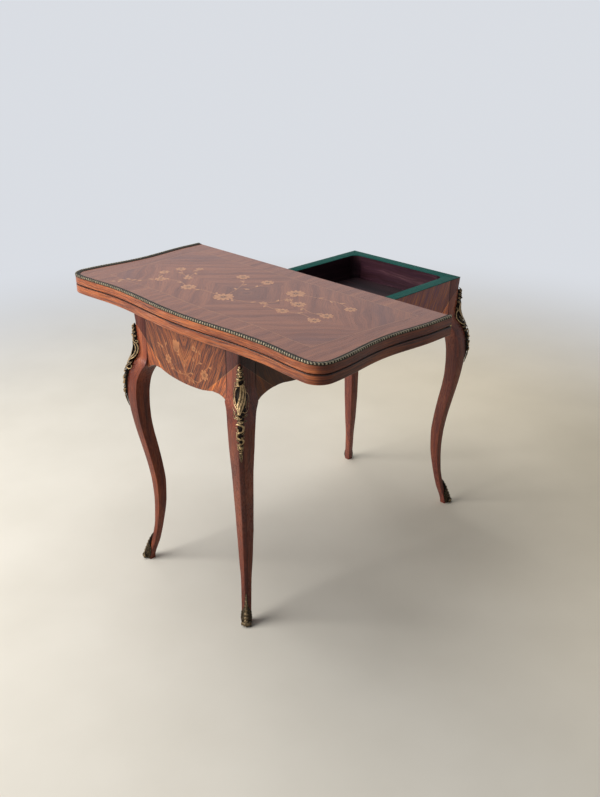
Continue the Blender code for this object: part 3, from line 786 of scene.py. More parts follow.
# %% Aprons
long_edge_shares = (
    (0.00, 1.000),
    (0.30, 0.975),
    (0.66, 0.905),
    (0.79, 0.865),
    (0.86, 0.880),
    (0.91, 0.915),
    (0.96, 0.975),
    (1.00, 1.055),
)
short_edge_shares = (
    (0.00, 1.000),
    (0.36, 0.978),
    (0.53, 0.942),
    (0.68, 0.907),
    (0.78, 0.903),
    (0.87, 0.920),
    (0.94, 0.952),
    (1.00, 1.008),
)
apron_steps, apron_ease = 96, 0.0008


def apron_form(half_span, drop, shares):
    """An apron's board, standing on the XZ plane with its outer face at Y = 0."""
    points = [(half_span, 0, wood_top), (-half_span, 0, wood_top)]
    for step in range(apron_steps + 1):
        share = 2 * step / apron_steps - 1
        points.append((share * half_span, 0, rim_height - along(shares, abs(share))[0] * drop))
    form = stack([points, [(x, apron_thickness, z) for x, _, z in points]])
    rim = [edge for edge in form.edges if abs(edge.verts[0].co.y - edge.verts[1].co.y) < hair]
    low = [edge for edge in rim if max(v.co.z for v in edge.verts) < wood_top - hair]
    ease(form, low, apron_ease)
    return form


def stand(form, place, tilt=0.0):
    """Tilts a form about X, sets it on the front of the frame, and turns it to the side named."""
    quarters, distance = frame_sides[place]
    bmesh.ops.rotate(form, verts=form.verts, cent=(0, 0, 0), matrix=turned(tilt, "X"))
    bmesh.ops.translate(form, verts=form.verts, vec=(0, -distance, 0))
    quarter = turned(quarters * math.pi / 2, "Z")
    bmesh.ops.rotate(form, verts=form.verts, cent=(0, 0, 0), matrix=quarter)
    return form


long_apron = (post_x, long_apron_drop, long_edge_shares, long_veneer)
short_apron = (post_y, short_apron_drop, short_edge_shares, short_veneer)
for place, (quarters, _) in frame_sides.items():
    span, drop, shares, finish = short_apron if quarters % 2 else long_apron
    board = stand(apron_form(span - clearance, drop, shares), place)
    piece("veneered_apron_" + place, board, [finish], "frame", ["apron_" + place])

# %% [markdown]
# Both leaves share one outline: hollowed short ends, rounded corners, and a long front edge that is
# bowed in the middle. The upper leaf's top is veneered in four quarters that mirror each other, so
# that their grain makes a lozenge, inside a cross-banded border with a light line between. The edges
# have their grain lying flat. The rings that shape the leaf also part these fields, so each field is
# given its own finish by its ring. First come the two lines that the rings follow.

# %% Edge of a leaf
side_steps, arc_steps, front_steps = 48, 14, 56
side_hollow_reach_share, front_hollow_place_share = 0.38, 0.574


def quarter_arc(centre, radius):
    """A rounded corner, from the end of a leaf round to its front."""
    turns = [math.pi / 2 * (1 - step / arc_steps) for step in range(arc_steps + 1)]
    return [from_centre(centre, turn, radius) for turn in turns]


def leaf_line(inset):
    """A leaf's free edge, as (distance from the hinge line, place along it), moved in by inset."""
    centre_u = leaf_depth - corner_drop - corner_radius
    centre_v = leaf_half - corner_radius
    dip_v = leaf_half * front_hollow_place_share
    half = []
    for step in range(side_steps):
        u = clearance / 2 + (centre_u - clearance / 2) * step / side_steps
        off = (u - leaf_depth / 2) / (leaf_depth * side_hollow_reach_share)
        dent = math.cos(math.pi / 2 * off) ** 2 if abs(off) < 1 else 0
        half.append((u, leaf_half - side_hollow * dent))
    half += quarter_arc((centre_u, centre_v), corner_radius)
    for step in range(1, front_steps + 1):
        v = centre_v * (1 - step / front_steps)
        if v < dip_v:
            back = front_hollow * (1 - math.cos(math.pi * v / dip_v)) / 2
        else:
            wave = math.cos(math.pi * (v - dip_v) / (centre_v - dip_v))
            back = front_hollow - (front_hollow - corner_drop) * (1 - wave) / 2
        half.append((leaf_depth - back, v))
    line = half + [(u, -v) for u, v in half[-2::-1]]
    moved_in = []
    for k, point in enumerate(line):
        before, after = line[max(k - 1, 0)], line[min(k + 1, len(line) - 1)]
        run = Vector((after[0] - before[0], after[1] - before[1])).normalized()
        if k in (0, len(line) - 1):
            run = Vector((1 if k == 0 else -1, 0))
        moved_in.append((point[0] + run.y * inset, point[1] - run.x * inset))
    return moved_in


print("a leaf's edge has", len(leaf_line(0)), "points")

# %% Edge of the quartered panel
panel_near, panel_far, panel_wide = 0.052, 0.072, 0.362
panel_corner, panel_flare, panel_sag = 0.006, 0.030, 0.007


def panel_line(grow):
    """The quartered panel's edge, point for point with the leaf's own, flaring to its corners."""
    near, far, wide = panel_near - grow, leaf_depth - panel_far + grow, panel_wide + grow
    centre_u, centre_v = far - panel_corner, wide - panel_corner
    half = []
    for step in range(side_steps):
        share = step / side_steps
        half.append((near + (centre_u - near) * share, wide + panel_flare * (1 - share) ** 1.3))
    half += quarter_arc((centre_u, centre_v), panel_corner)
    for step in range(1, front_steps + 1):
        share = step / front_steps
        sag = panel_sag * (1 - math.cos(math.tau * share)) / 2
        half.append((far - sag, centre_v * (1 - share)))
    return half + [(u, -v) for u, v in half[-2::-1]]


print("the panel's edge has", len(panel_line(0)), "points, as many as the leaf's")

# %% Lays and marks of the leaves
# The last colour is a painted shadow for the seam between the leaves.
bleached, bands, heart_wood, seam_shadow_colour = (
    (0.52, 0.260, 0.170),
    (0.055, 0.028, 0.040),
    (0.06, 0.028, 0.030),
    (0.006, 0.004, 0.003),
)


def lay_quartered(finish):
    """Grain that slants to the corners of the leaf, mirrored about both of its middle lines."""
    x, y, z = finish.space()
    east, north = abs(x - leaf_middle_x), abs(y)
    return (east - north) * math.sqrt(0.5), (east + north) * math.sqrt(0.5), z


def lay_level(finish):
    """Grain that runs level round an upright edge."""
    x, y, z = finish.space()
    return x + y, z, z * 0.1


def lozenge_marks(finish, colour, length, line, depth):
    """The dark bands and the dark centre that the four matched quarters share."""
    bend = (finish.cells((length, line, depth), (0.10, 0.05, 0.05), 3.0) - 0.5) * 0.05
    ring = abs(line + bend - 0.318)
    band = 1 - finish.rise(ring, 0.004, 0.034)
    colour = finish.blend(band * 0.35, colour, bands)
    heart = 1 - finish.rise(line + bend, 0.02, 0.10)
    return finish.blend(heart * 0.35, colour, heart_wood)


def edge_marks(finish, colour, length, line, depth):
    """Rubbed, pale patches, painted shade on the short ends, and a painted shadow along the seam."""
    x, y, z = finish.space()
    rub = finish.cells((length, line, depth), (0.030, 0.0026, 0.0026), 4.0, 0.65)
    colour = finish.blend(finish.rise(rub, 0.50, 0.72) * 0.45, colour, bleached)
    # Painted shade: the short ends of the leaves are darkened.
    ends = finish.rise(abs(y), 0.428, 0.442)
    colour = finish.blend(ends * 0.85, colour, (0.42, 0.34, 0.38), "MULTIPLY")
    # Painted shadow: a dark line along the seam between the two leaves.
    seam = 1 - finish.rise(abs(z - seam_height), 0.0016, 0.0027)
    return finish.blend(seam * 0.93, colour, seam_shadow_colour)


print("the top's grain slants to its corners from X =", round(leaf_middle_x, 4))

# %% Veneers of the leaves
top_tones = ((0.165, 0.057, 0.034), (0.230, 0.084, 0.047), (0.295, 0.114, 0.060))
edge_tones = ((0.150, 0.040, 0.024), (0.410, 0.110, 0.036), (0.570, 0.175, 0.055))
line_tones = ((0.28, 0.13, 0.07), (0.33, 0.16, 0.08), (0.38, 0.19, 0.10))
panel_habits = {"marks": lozenge_marks, "polish": 0.18, "wild": 2.4, "curl": 0.22}
quartered = wood("top_veneer_quartered", lay_quartered, top_tones, 0.72, **panel_habits)
crossband = wood("top_veneer_border", straight("xyz"), top_tones, 0.72, polish=0.18, wild=2.0, curl=0.30)
edge_habits = {"size": 0.36, "curl": 0.45, "marks": edge_marks}
edge_veneer = wood("leaf_edge_veneer", lay_level, edge_tones, 0.56, 0.32, **edge_habits)
boxwood = wood("boxwood_line", straight("xyz"), line_tones, 0.95)
print("top veneer has", len(quartered.nodes), "nodes")

# %% [markdown]
# A leaf is built from its seam outwards, ring by ring: a small chamfer, the upright edge, and then the
# outer face, which on the upper leaf steps down for the brass edging. The beds of the playing cloths,
# and the places of the hinges, the pivot and the stop peg, are cut out of it afterwards. The cutters
# take their sizes from the measured pieces that lie there.

# %% Leaves
chamfer, under_round, panel_line_width = 0.0012, 0.003, 0.0012
border_wood, edge_wood, panel_wood, line_wood = range(4)


def in_plan(line):
    """A leaf's line, which is measured from the hinge line, as places in X and Y."""
    return [(hinge_line_x - u, v) for u, v in line]


def leaf_ring(line, height):
    """A ring round a leaf at a height above or below the seam."""
    return [(x, y, seam_height + height) for x, y in in_plan(line)]


def leaf_form(rows):
    """A leaf from rows of a height, a line round it, and the number of the wood that follows."""
    form = stack([leaf_ring(line, height) for height, line, _ in rows])
    form.verts.index_update()
    points = len(rows[0][1])
    for face in form.faces:
        lowest = min(corner.index for corner in face.verts) // points
        highest = max(corner.index for corner in face.verts) // points
        face.material_index = rows[lowest][2] if highest or len(face.verts) == 4 else border_wood
    return form


outer_face = half_seam + leaf_thickness
whole, eased, within = leaf_line(0), leaf_line(chamfer), leaf_line(edging_width + clearance)
upper_rows = [
    (half_seam, eased, edge_wood),
    (half_seam + chamfer, whole, edge_wood),
    (outer_face - edging_rebate, whole, edge_wood),
    (outer_face - edging_rebate, within, edge_wood),
    (outer_face, within, border_wood),
    (outer_face, panel_line(panel_line_width), line_wood),
    (outer_face, panel_line(0), panel_wood),
]
lower_rows = [(-half_seam, eased, edge_wood), (-half_seam - chamfer, whole, edge_wood)]
round_steps = 5
for step in range(round_steps + 1):
    turn = math.pi / 2 * step / round_steps
    height = under_round * (1 - math.sin(turn)) - outer_face
    veneer = border_wood if step == round_steps else edge_wood
    lower_rows.append((height, leaf_line(under_round * (1 - math.cos(turn))), veneer))

upper_woods, lower_woods = [crossband, edge_veneer, quartered, boxwood], [crossband, edge_veneer]
leaf_pieces = {}
for name, rows, woods in (("upper", upper_rows, upper_woods), ("lower", lower_rows, lower_woods)):
    form, node = leaf_form(rows), name + "_leaf"
    leaf_pieces[name] = piece("veneered_" + node, form, woods, name + "_top", [node])

# %% Beds and housings in the leaves


def room_round(node, way):
    """A cutter's box round a measured piece: clear of it, and run out on one side (way)."""
    low, high = (Vector(corner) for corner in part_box(node))
    room = Vector((clearance, clearance, clearance))
    run = Vector((0, 0, cutter_run))
    return (low - room, high + room + run) if way > 0 else (low - room - run, high + room)


def let_in(node, way):
    """A cutter for the place where a measured piece is let into wood, open on one side."""
    return box(*zip(*room_round(node, way)))


def drilled(node, way, sides=32):
    """A round cutter for a measured pin or bolt, open on one side."""
    low, high = room_round(node, way)
    return prism(circle((low + high) / 2, (high.x - low.x) / 2, sides), low.z, high.z)


def baize_bed(way):
    """A cutter for the shallow bed that the playing cloth lies in."""
    bed = seam_height + way * (half_seam + baize_recess)
    return prism(in_plan(leaf_line(playing_border)), min(bed, seam_height), max(bed, seam_height))


upper_flaps = [let_in("hinge_upper_flap_" + end, -1) for end in ("front", "back")]
lower_flaps = [let_in("hinge_lower_flap_" + end, 1) for end in ("front", "back")]
pivot_places = [let_in("pivot_plate", -1), drilled("stop_peg", -1), drilled("pivot_bolt", -1)]
carve(leaf_pieces["upper"], baize_bed(1), *upper_flaps)
carve(leaf_pieces["lower"], baize_bed(-1), *lower_flaps, *pivot_places)

# %% [markdown]
# The flowers are marquetry: petals and leaves sawn from a paler wood, dipped in hot sand so that one
# end scorches brown, and let into the veneer. Here each is a thin closed slip that stands a few
# hundredths of a millimetre proud, stems lowest and petals highest, so that overlapping slips don't
# fight for one level. An attribute named scorch carries the sand's shading. The sprays are drawn flat,
# then laid on the top or stood against an apron.

# %% Scorched wood


def scorched(name, pale, burnt):
    """A pale wood whose scorch attribute turns it brown."""
    finish = Finish(name)
    grain = finish.cells(finish.space(), 0.0012, 3.0, 0.6)
    middle = [(a + b) / 2 for a, b in zip(pale, burnt)]
    shown = finish.attribute("scorch") + (grain - 0.5) * 0.6
    colour = finish.ramp(shown, (0.05, pale), (0.55, middle), (1.0, burnt))
    finish.wear(
        Base_Color=colour,
        Roughness=0.30 + (grain - 0.5) * 0.1,
        Specular_IOR_Level=0.25,
        Coat_Weight=0.2,
        Coat_Roughness=0.18,
        Normal=finish.dent(grain, 0.00005, 0.5),
    )
    return finish


petal_wood = scorched("petal_wood", pale=(0.54, 0.250, 0.115), burnt=(0.080, 0.029, 0.016))
honey_wood = scorched("honey_wood", pale=(0.50, 0.190, 0.068), burnt=(0.110, 0.034, 0.014))
print("scorched wood has", len(petal_wood.nodes), "nodes")

# %% Petals and flowers
sunk, petal_points, heart_points = -0.0004, 10, 8
# each round of petals has a share of the flower's radius, a lift, and an offset in petals
petal_rounds = ((1.0, 0.00010, 0.0), (0.62, 0.00014, 0.5))
heart_rounds = ((0.20, 0.00017, 1.0), (0.09, 0.00020, 0.2))  # share of the radius, lift and scorch


def fresh_form(layer):
    """An empty form whose corners keep a number under the layer's name."""
    form = bmesh.new()
    form.verts.layers.float.new(layer)
    return form


def slip(form, outline, lift):
    """A thin slip of wood. Its outline's points are x, y and scorch."""
    stack([[(x, y, z, scorch) for x, y, scorch in outline] for z in (sunk, lift)], form, "scorch")


def petal(form, centre, turn, reach, width, lift):
    """A round-ended petal that is scorched towards the middle of the flower."""
    outline = []
    for step in range(petal_points):
        swing = math.tau * step / petal_points
        far = 0.58 - 0.42 * math.cos(swing)
        aside = width / 2 * math.sin(swing) * (0.78 - 0.22 * math.cos(swing))
        outline.append((*from_centre(centre, turn, far * reach, aside), 0.08 + 0.90 * (1 - far) ** 1.1))
    slip(form, outline, lift)


def blossom(form, centre, radius, count, turn):
    """An open flower with two rounds of petals and a dark heart."""
    for share, lift, offset in petal_rounds:
        width = 2 * radius * share * math.sin(math.pi / count) * 0.78
        for number in range(count):
            angle = turn + math.tau * (number + offset) / count
            petal(form, centre, angle, radius * share, width, lift)
    for share, lift, scorch in heart_rounds:
        slip(form, [(*spot, scorch) for spot in circle(centre, radius * share, heart_points)], lift)


print("a petal has", petal_points, "points and a flower", len(petal_rounds), "rounds of petals")

# %% Leaves and stems
stem_lift, leaf_lift = 0.00005, 0.00008
stem_width, stem_scorch, path_points = 0.0014, 0.35, 5
leaf_lean, leaf_width_share = 0.7, 0.42
leaf_scorch = {1: 0.70, -1: 0.10}


def leaflet(form, base, turn, length, width, lift=leaf_lift):
    """A pointed leaf, scorched along one side."""
    outline = []
    for side, shares in ((1, (0.0, 0.22, 0.5, 0.78, 1.0)), (-1, (0.78, 0.5, 0.22))):
        for share in shares:
            aside = side * width / 2 * math.sin(math.pi * share**0.8)
            outline.append((*from_centre(base, turn, share * length, aside), leaf_scorch[side]))
    slip(form, outline, lift)


def stem(form, points, leaves, leaf_length):
    """A thin curved stem, with leaves set by turns on either side."""
    path = smooth_path(points, path_points * len(points))
    last = len(path) - 1
    rings = []
    for k, spot in enumerate(path):
        way = (path[min(k + 1, last)] - path[max(k - 1, 0)]).normalized()
        aside = Vector((-way.y, way.x)) * stem_width / 2
        left, right = spot + aside, spot - aside
        ring = ((left, sunk), (left, stem_lift), (right, stem_lift), (right, sunk))
        rings.append([(*point, height, stem_scorch) for point, height in ring])
    stack(rings, form, "scorch")
    for number in range(leaves):
        k = round((number + 0.7) / (leaves + 0.4) * last)
        way = path[min(k + 1, last)] - path[k - 1]
        lean = leaf_lean if number % 2 else -leaf_lean
        leaflet(form, path[k], math.atan2(way.y, way.x) + lean, leaf_length, leaf_length * leaf_width_share)


print("a stem is", stem_width * 1000, "mm wide")

# %% [markdown]
# The spray on the top grows from one large flower near the middle, in two arms that bend towards the
# ends of the leaf. The stems come first, as a draughtsman would draw them, then the flowers where the
# picture has them.

# %% Inlaid flowers of the top
top_leaf, bud_leaf_length, bud_leaf_width, bud_leaf_lift = 0.018, 0.018, 0.008, 0.00010
top_spray = fresh_form("scorch")
for run, leaves in (
    (((-0.267, 0.017), (-0.266, 0.080), (-0.277, 0.138), (-0.262, 0.195), (-0.285, 0.241)), 5),
    (((-0.230, 0.199), (-0.214, 0.240), (-0.192, 0.276)), 3),
    (((-0.157, 0.241), (-0.188, 0.222), (-0.230, 0.199)), 3),
    (((-0.285, 0.241), (-0.268, 0.270), (-0.240, 0.284)), 2),
    (((-0.285, 0.241), (-0.320, 0.262), (-0.345, 0.292), (-0.374, 0.304)), 4),
    (((-0.267, 0.017), (-0.205, 0.040), (-0.155, 0.070), (-0.124, 0.107)), 5),
    (((-0.205, 0.040), (-0.160, 0.020), (-0.112, 0.028)), 3),
    (((-0.267, 0.017), (-0.256, -0.040), (-0.231, -0.083), (-0.185, -0.100), (-0.125, -0.085)), 5),
    (((-0.231, -0.083), (-0.242, -0.120), (-0.238, -0.156), (-0.222, -0.205), (-0.233, -0.253)), 5),
    (((-0.172, -0.110), (-0.176, -0.130), (-0.179, -0.149), (-0.200, -0.205), (-0.192, -0.251)), 4),
    (((-0.125, -0.085), (-0.112, -0.150), (-0.104, -0.205), (-0.120, -0.259)), 5),
):
    stem(top_spray, run, leaves, top_leaf)
for x, y, radius, count in (
    (-0.267, 0.017, 0.0262, 12),
    (-0.125, -0.085, 0.0244, 12),
    (-0.277, 0.138, 0.0201, 9),
    (-0.179, -0.149, 0.0183, 9),
    (-0.285, 0.241, 0.0152, 8),
    (-0.192, 0.276, 0.0140, 7),
    (-0.240, 0.284, 0.0134, 7),
    (-0.124, 0.107, 0.0183, 8),
    (-0.112, 0.028, 0.0171, 8),
    (-0.238, -0.156, 0.0152, 8),
    (-0.233, -0.253, 0.0152, 8),
    (-0.192, -0.251, 0.0165, 9),
    (-0.120, -0.259, 0.0152, 8),
    (-0.157, 0.241, 0.0104, 6),
    (-0.230, 0.199, 0.0122, 6),
    (-0.172, -0.110, 0.0104, 6),
    (-0.231, -0.083, 0.0092, 5),
):
    blossom(top_spray, (x, y), radius, count, turn=x * 40)
for x, y, turn in ((-0.374, 0.304, 2.6), (-0.356, 0.298, 2.2), (-0.330, 0.279, 3.0)):
    leaflet(top_spray, (x, y), turn, bud_leaf_length, bud_leaf_width, bud_leaf_lift)
bmesh.ops.translate(top_spray, verts=top_spray.verts, vec=(0, 0, seam_height + outer_face))
piece("inlaid_flowers_top", top_spray, [petal_wood], "upper_top")

# %% [markdown]
# Each apron has a smaller spray of its own, which springs from one point low on the board. It is drawn
# once, with the distance along the board and the height. On the long aprons it is drawn out to almost
# twice the length, while its flowers and leaves keep their size.

# %% Inlaid flowers of the aprons
long_stretch = 1.9
apron_leaf, blossom_turn = 0.013, 0.4
bud, bud_foot = (-0.030, 0.654), (-0.030, 0.657)
bud_reach, bud_width, bud_turns = 0.034, 0.0125, (1.25, 1.55, 1.85)
apron_stems = (
    (((0.004, 0.610), (-0.010, 0.640), (-0.024, 0.660)), 2),
    (((0.004, 0.610), (0.022, 0.622), (0.034, 0.650), (0.044, 0.672), (0.036, 0.684)), 3),
    (((0.004, 0.610), (-0.028, 0.606), (-0.052, 0.616), (-0.063, 0.629)), 3),
    (((0.004, 0.610), (0.040, 0.602), (0.060, 0.612), (0.071, 0.628)), 3),
    (((0.044, 0.646), (0.058, 0.662), (0.059, 0.687)), 2),
    (((-0.040, 0.612), (-0.070, 0.640), (-0.086, 0.660), (-0.102, 0.652)), 3),
    (((-0.063, 0.640), (-0.072, 0.662), (-0.074, 0.676)), 1),
    (((0.071, 0.640), (0.086, 0.652), (0.094, 0.668)), 1),
    (((-0.004, 0.616), (0.012, 0.604), (0.026, 0.598)), 1),
)
apron_flowers = (
    (-0.063, 0.631, 0.0120, 6),
    (0.071, 0.628, 0.0140, 7),
    (0.036, 0.684, 0.0075, 5),
)


def apron_spray(stretch):
    """The spray on an apron, with places as (along the board, height), stretched along the board."""
    form = fresh_form("scorch")
    for run, leaves in apron_stems:
        stem(form, [(u * stretch, v) for u, v in run], leaves, apron_leaf)
    for u, v, radius, count in apron_flowers:
        blossom(form, (u * stretch, v), radius, count, blossom_turn)
    for turn in bud_turns:
        petal(form, (bud[0] * stretch, bud[1]), turn, bud_reach, bud_width, 0.00012 + 0.00002 * turn)
    for turn in (0.8, 2.4):
        leaflet(form, (bud_foot[0] * stretch, bud_foot[1]), turn, bud_leaf_length, bud_leaf_width)
    return form


for place, (quarters, _) in frame_sides.items():
    spray = stand(apron_spray(1.0 if quarters % 2 else long_stretch), place, tilt=math.pi / 2)
    piece("inlaid_flowers_" + place, spray, [honey_wood], "frame")

# %% [markdown]
# The bronze on this table was cast, chased and gilded, and then went dull with handling. The high
# places are rubbed bright, and dark wax has settled in the low ones. So every cast piece carries an
# attribute named relief, which is 1 on a crest and 0 in a hollow, and the finish reads it.

# %% Bronze


def bronze(name, crest, hollow, gloss):
    """A metal that is bright where its relief attribute is high and dark where it is low."""
    finish = Finish(name)
    place = finish.space()
    cloud = finish.cells(place, 0.005, 4.0, 0.65)
    speck = finish.cells(place, 0.0011, 2.0)
    height = finish.rise(finish.attribute("relief") + (cloud - 0.5) * 0.9, 0.38, 1.10)
    middle = [a * 0.16 + b * 0.84 for a, b in zip(crest, hollow)]
    colour = finish.ramp(height, (0.0, hollow), (0.5, middle), (1.0, crest))
    rough = gloss + (1 - height) * 0.3 + (speck - 0.5) * 0.2
    dent = finish.dent(cloud + speck * 0.5, 0.0004, 0.7)
    metal = 0.2 + height * 0.4
    finish.wear(Base_Color=colour, Roughness=rough, Metallic=metal, Specular_IOR_Level=0.2, Normal=dent)
    return finish


mount_bronze = bronze("mount_bronze", crest=(0.50, 0.335, 0.165), hollow=(0.012, 0.007, 0.004), gloss=0.28)
edging_bronze = bronze("edging_bronze", crest=(0.43, 0.360, 0.235), hollow=(0.012, 0.009, 0.005), gloss=0.30)
sabot_bronze = bronze("sabot_bronze", crest=(0.22, 0.155, 0.080), hollow=(0.009, 0.0055, 0.004), gloss=0.32)
print("bronze has", len(mount_bronze.nodes), "nodes")

# %% [markdown]
# A cast brass edging runs round the three free sides of the upper leaf. Its small leaf pattern
# repeats every few millimetres and slants, so it is drawn as a bar whose section swells and shrinks
# along the edge, its outer points a little ahead of its inner ones. The bar comes in lengths that
# butt end to end, as cast lengths do. An Array modifier on a curve could repeat one casting, but it
# leaves gaps in the tight corners.

# %% Even steps along the edge
edging_step = 0.00125


def evenly(line, step):
    """Points at an even spacing along a line, each with its direction."""
    points = [Vector(point) for point in line]
    runs = [(b - a).length for a, b in zip(points, points[1:])]
    total = sum(runs)
    count = round(total / step)
    walked, k = 0.0, 0
    for number in range(count + 1):
        place = total * number / count
        while k < len(runs) - 1 and walked + runs[k] < place:
            walked += runs[k]
            k += 1
        way = (points[k + 1] - points[k]).normalized()
        yield points[k] + way * (place - walked), way, place


edging_steps = list(evenly(leaf_line(0), edging_step))
print("the edging takes", len(edging_steps), "steps over", round(edging_steps[-1][2], 3), "m")

# %% Brass edging
edging_pitch, length_rings = 0.0075, 84
edging_lean = (0.0, 0.22, 0.48, 0.74)
edging_base = seam_height + outer_face
edging_bed, edging_lip = clearance - edging_rebate, -edging_rebate - 0.0012


def edging_section(place):
    """The edging cut across at a distance along it, as (inset, height, relief) of each point."""
    tip, back, rib, root = (abs(math.cos(math.pi * (place / edging_pitch + lean))) for lean in edging_lean)
    return (
        (0.0004, edging_lip, 0.0),
        (-0.0006, edging_lip, 0.1),
        (-0.0006 - 0.0005 * tip, -0.0006, 0.2 + 0.8 * tip),
        (-0.0002 - 0.0006 * tip, edging_proud * (0.40 + 0.35 * tip), 0.05 + 0.95 * tip),
        (0.0012, edging_proud * (0.55 + 0.45 * back), 0.1 + 0.9 * back),
        (0.0032, edging_proud * (0.45 + 0.40 * rib), 0.1 + 0.85 * rib),
        (0.0050, edging_proud * (0.30 + 0.35 * root), 0.1 + 0.7 * root),
        (0.0068, edging_proud * 0.22, 0.0),
        (0.0090, edging_proud * 0.26, 0.15),
        (0.0106, edging_proud * 0.46, 0.62),
        (edging_width - 0.0002, edging_proud * 0.28, 0.3),
        (edging_width, edging_bed, 0.0),
        (0.0006, edging_bed, 0.0),
    )


edging_rings = []
for point, way, place in edging_steps:
    ring = []
    for inset, lift, crest in edging_section(place):
        x, y = hinge_line_x - point.x - way.y * inset, point.y - way.x * inset
        ring.append((x, y, edging_base + lift, crest))
    edging_rings.append(ring)
edging_form = bmesh.new()
for start in range(0, len(edging_rings) - 1, length_rings):
    stack(edging_rings[start : start + length_rings + 1], edging_form, "relief")
piece("cast_edging", edging_form, [edging_bronze], "upper_top", ["brass_edging"], sharp=60)

# %% [markdown]
# The knee mounts and the sabots are rococo castings: ribbed straps, pierced scrolls, buds and leaves
# with notched edges, all bent round the outer corner of a leg. They are modelled flat first, as a
# founder's wax would be, with three numbers for each point: how far across the corner it lies, its
# height, and how far it stands off the wood. One function then bends a finished wax round its leg.

# %% Bending a wax round a leg


def wrapped(place, across, height, proud):
    """A point on a leg's outer corner. Across runs from the face along X (-) to the one along Y (+)."""
    side_x, side_y = corners[place]
    out, _, flat = leg_section(max(height, 0.0))
    half = flat / math.sqrt(2)
    middle = out - flat / 2
    if abs(across) <= half:
        x, y = middle - across / math.sqrt(2), middle + across / math.sqrt(2)
    elif across > 0:
        x, y = out - flat - (across - half), out
    else:
        x, y = out, out - flat - (-across - half)
    lean = max(-1.0, min(1.0, across / (half + 0.006)))
    angle = math.pi / 4 * (1 + math.sin(math.pi / 2 * lean))
    x += proud * math.cos(angle)
    y += proud * math.sin(angle)
    return side_x * (half_x + x), side_y * (half_y + y), height


knee_spot = wrapped("front_left", 0, 0.5, 0)
print("the front left knee's corner, where it bulges most:", [round(value, 3) for value in knee_spot])

# %% Bars of wax


def bar(form, points, steps=14, sides=8, squash=0.8):
    """A round bar of changing thickness. Each point is across, height, proud and radius."""
    path = smooth_path(points, steps)
    rings = []
    for k, spot in enumerate(path):
        before, after = path[max(k - 1, 0)], path[min(k + 1, steps - 1)]
        way = (after - before).to_3d().normalized()
        aside = Vector((way.y, -way.x, 0))
        aside = aside.normalized() if aside.length > hair else Vector((1, 0, 0))
        ring = []
        for side in range(sides):
            turn = math.tau * side / sides
            step = aside * math.cos(turn) + Vector((0, 0, math.sin(turn) * squash))
            ring.append((*(spot.to_3d() + step * max(spot[3], 0.05)), 0.42 + 0.58 * math.sin(turn)))
        rings.append(ring)
    stack(rings, form, "relief")


print("bars ready")

# %% Leaves, knobs and the ground of a casting
blade_section = (
    (-1.0, 0.25, 0.55),
    (-0.6, 1.00, 1.00),
    (0.0, 0.35, 0.10),
    (0.6, 1.00, 1.00),
    (1.0, 0.25, 0.55),
    (0.5, -0.60, 0.00),
    (-0.5, -0.60, 0.00),
)


def blade(form, base, tip, width, thick=1.6, curl=1.5, teeth=3, steps=13):
    """A notched leaf with a hollow middle rib, from base to tip (each across, height, proud)."""
    base, tip = Vector(base), Vector(tip)
    way = Vector((tip.x - base.x, tip.y - base.y, 0)).normalized()
    aside = Vector((way.y, -way.x, 0))
    rings = []
    for k in range(steps):
        t = k / (steps - 1)
        spot = base.lerp(tip, t)
        spot.z += curl * t * t
        shape = math.sin(math.pi * min(1.0, 0.16 + 0.84 * t)) ** 0.75 if t < 1 else 0
        notch = 1 - 0.36 * (teeth * t % 1) if teeth else 1
        half = max(width / 2 * shape * notch, 0.12)
        tall = thick * (0.35 + 0.65 * (1 - t))
        ring = []
        for share, lift, crest in blade_section:
            ring.append((*(spot + aside * half * share + Vector((0, 0, tall * lift))), crest))
        rings.append(ring)
    stack(rings, form, "relief")


def bead(form, centre, size):
    """A boss or bud: a ball stretched by size."""
    grown = Matrix.Translation(centre) @ Matrix.Diagonal((*size, 1))
    ball = bmesh.ops.create_uvsphere(form, u_segments=12, v_segments=8, radius=1, matrix=grown)
    layer = form.verts.layers.float["relief"]
    for corner in ball["verts"]:
        corner[layer] = 0.45 + 0.55 * (corner.co.z - centre[2]) / size[2]


def ground(wax, rows, steps=40, level=-2.4):
    """The dark plain ground behind a casting's parts, from rows of (down, left, right); under the knee
    mount's pierced scrolls it is a painted shadow.
    """
    core = []
    for down, left, right in smooth_path(rows, steps):
        row = [(left + (right - left) * share, down, level, 0.0) for share in (0, 0.2, 0.4, 0.6, 0.8, 1)]
        core.append(row + [(right, down, -30, 0.0), (left, down, -30, 0.0)])
    stack(core, wax, "relief")


print("wax tools ready")

# %% [markdown]
# A knee mount hangs from a small curled bud at the top. Below it come a tier of leaves, a long ribbed
# strap with a pierced scroll on either side, flaring leaf tips, a little scroll, and a pointed drop.
# The scrolls are not level: the one on the narrow side of the table sits higher, which is the lively
# unevenness of the style. Sizes in the wax are millimetres, counted down from its top.
#
# The casting is drawn from tables. A line's points say how far across, how far down and how far above
# the ground they lie, and how thick the bar is there. The coils leave out the third of these, because
# they all lie at one level. A row of the ground says how far down it is and where it ends on the left
# and on the right, a leaf has its base, its tip and its width, and a knob its place and its size.

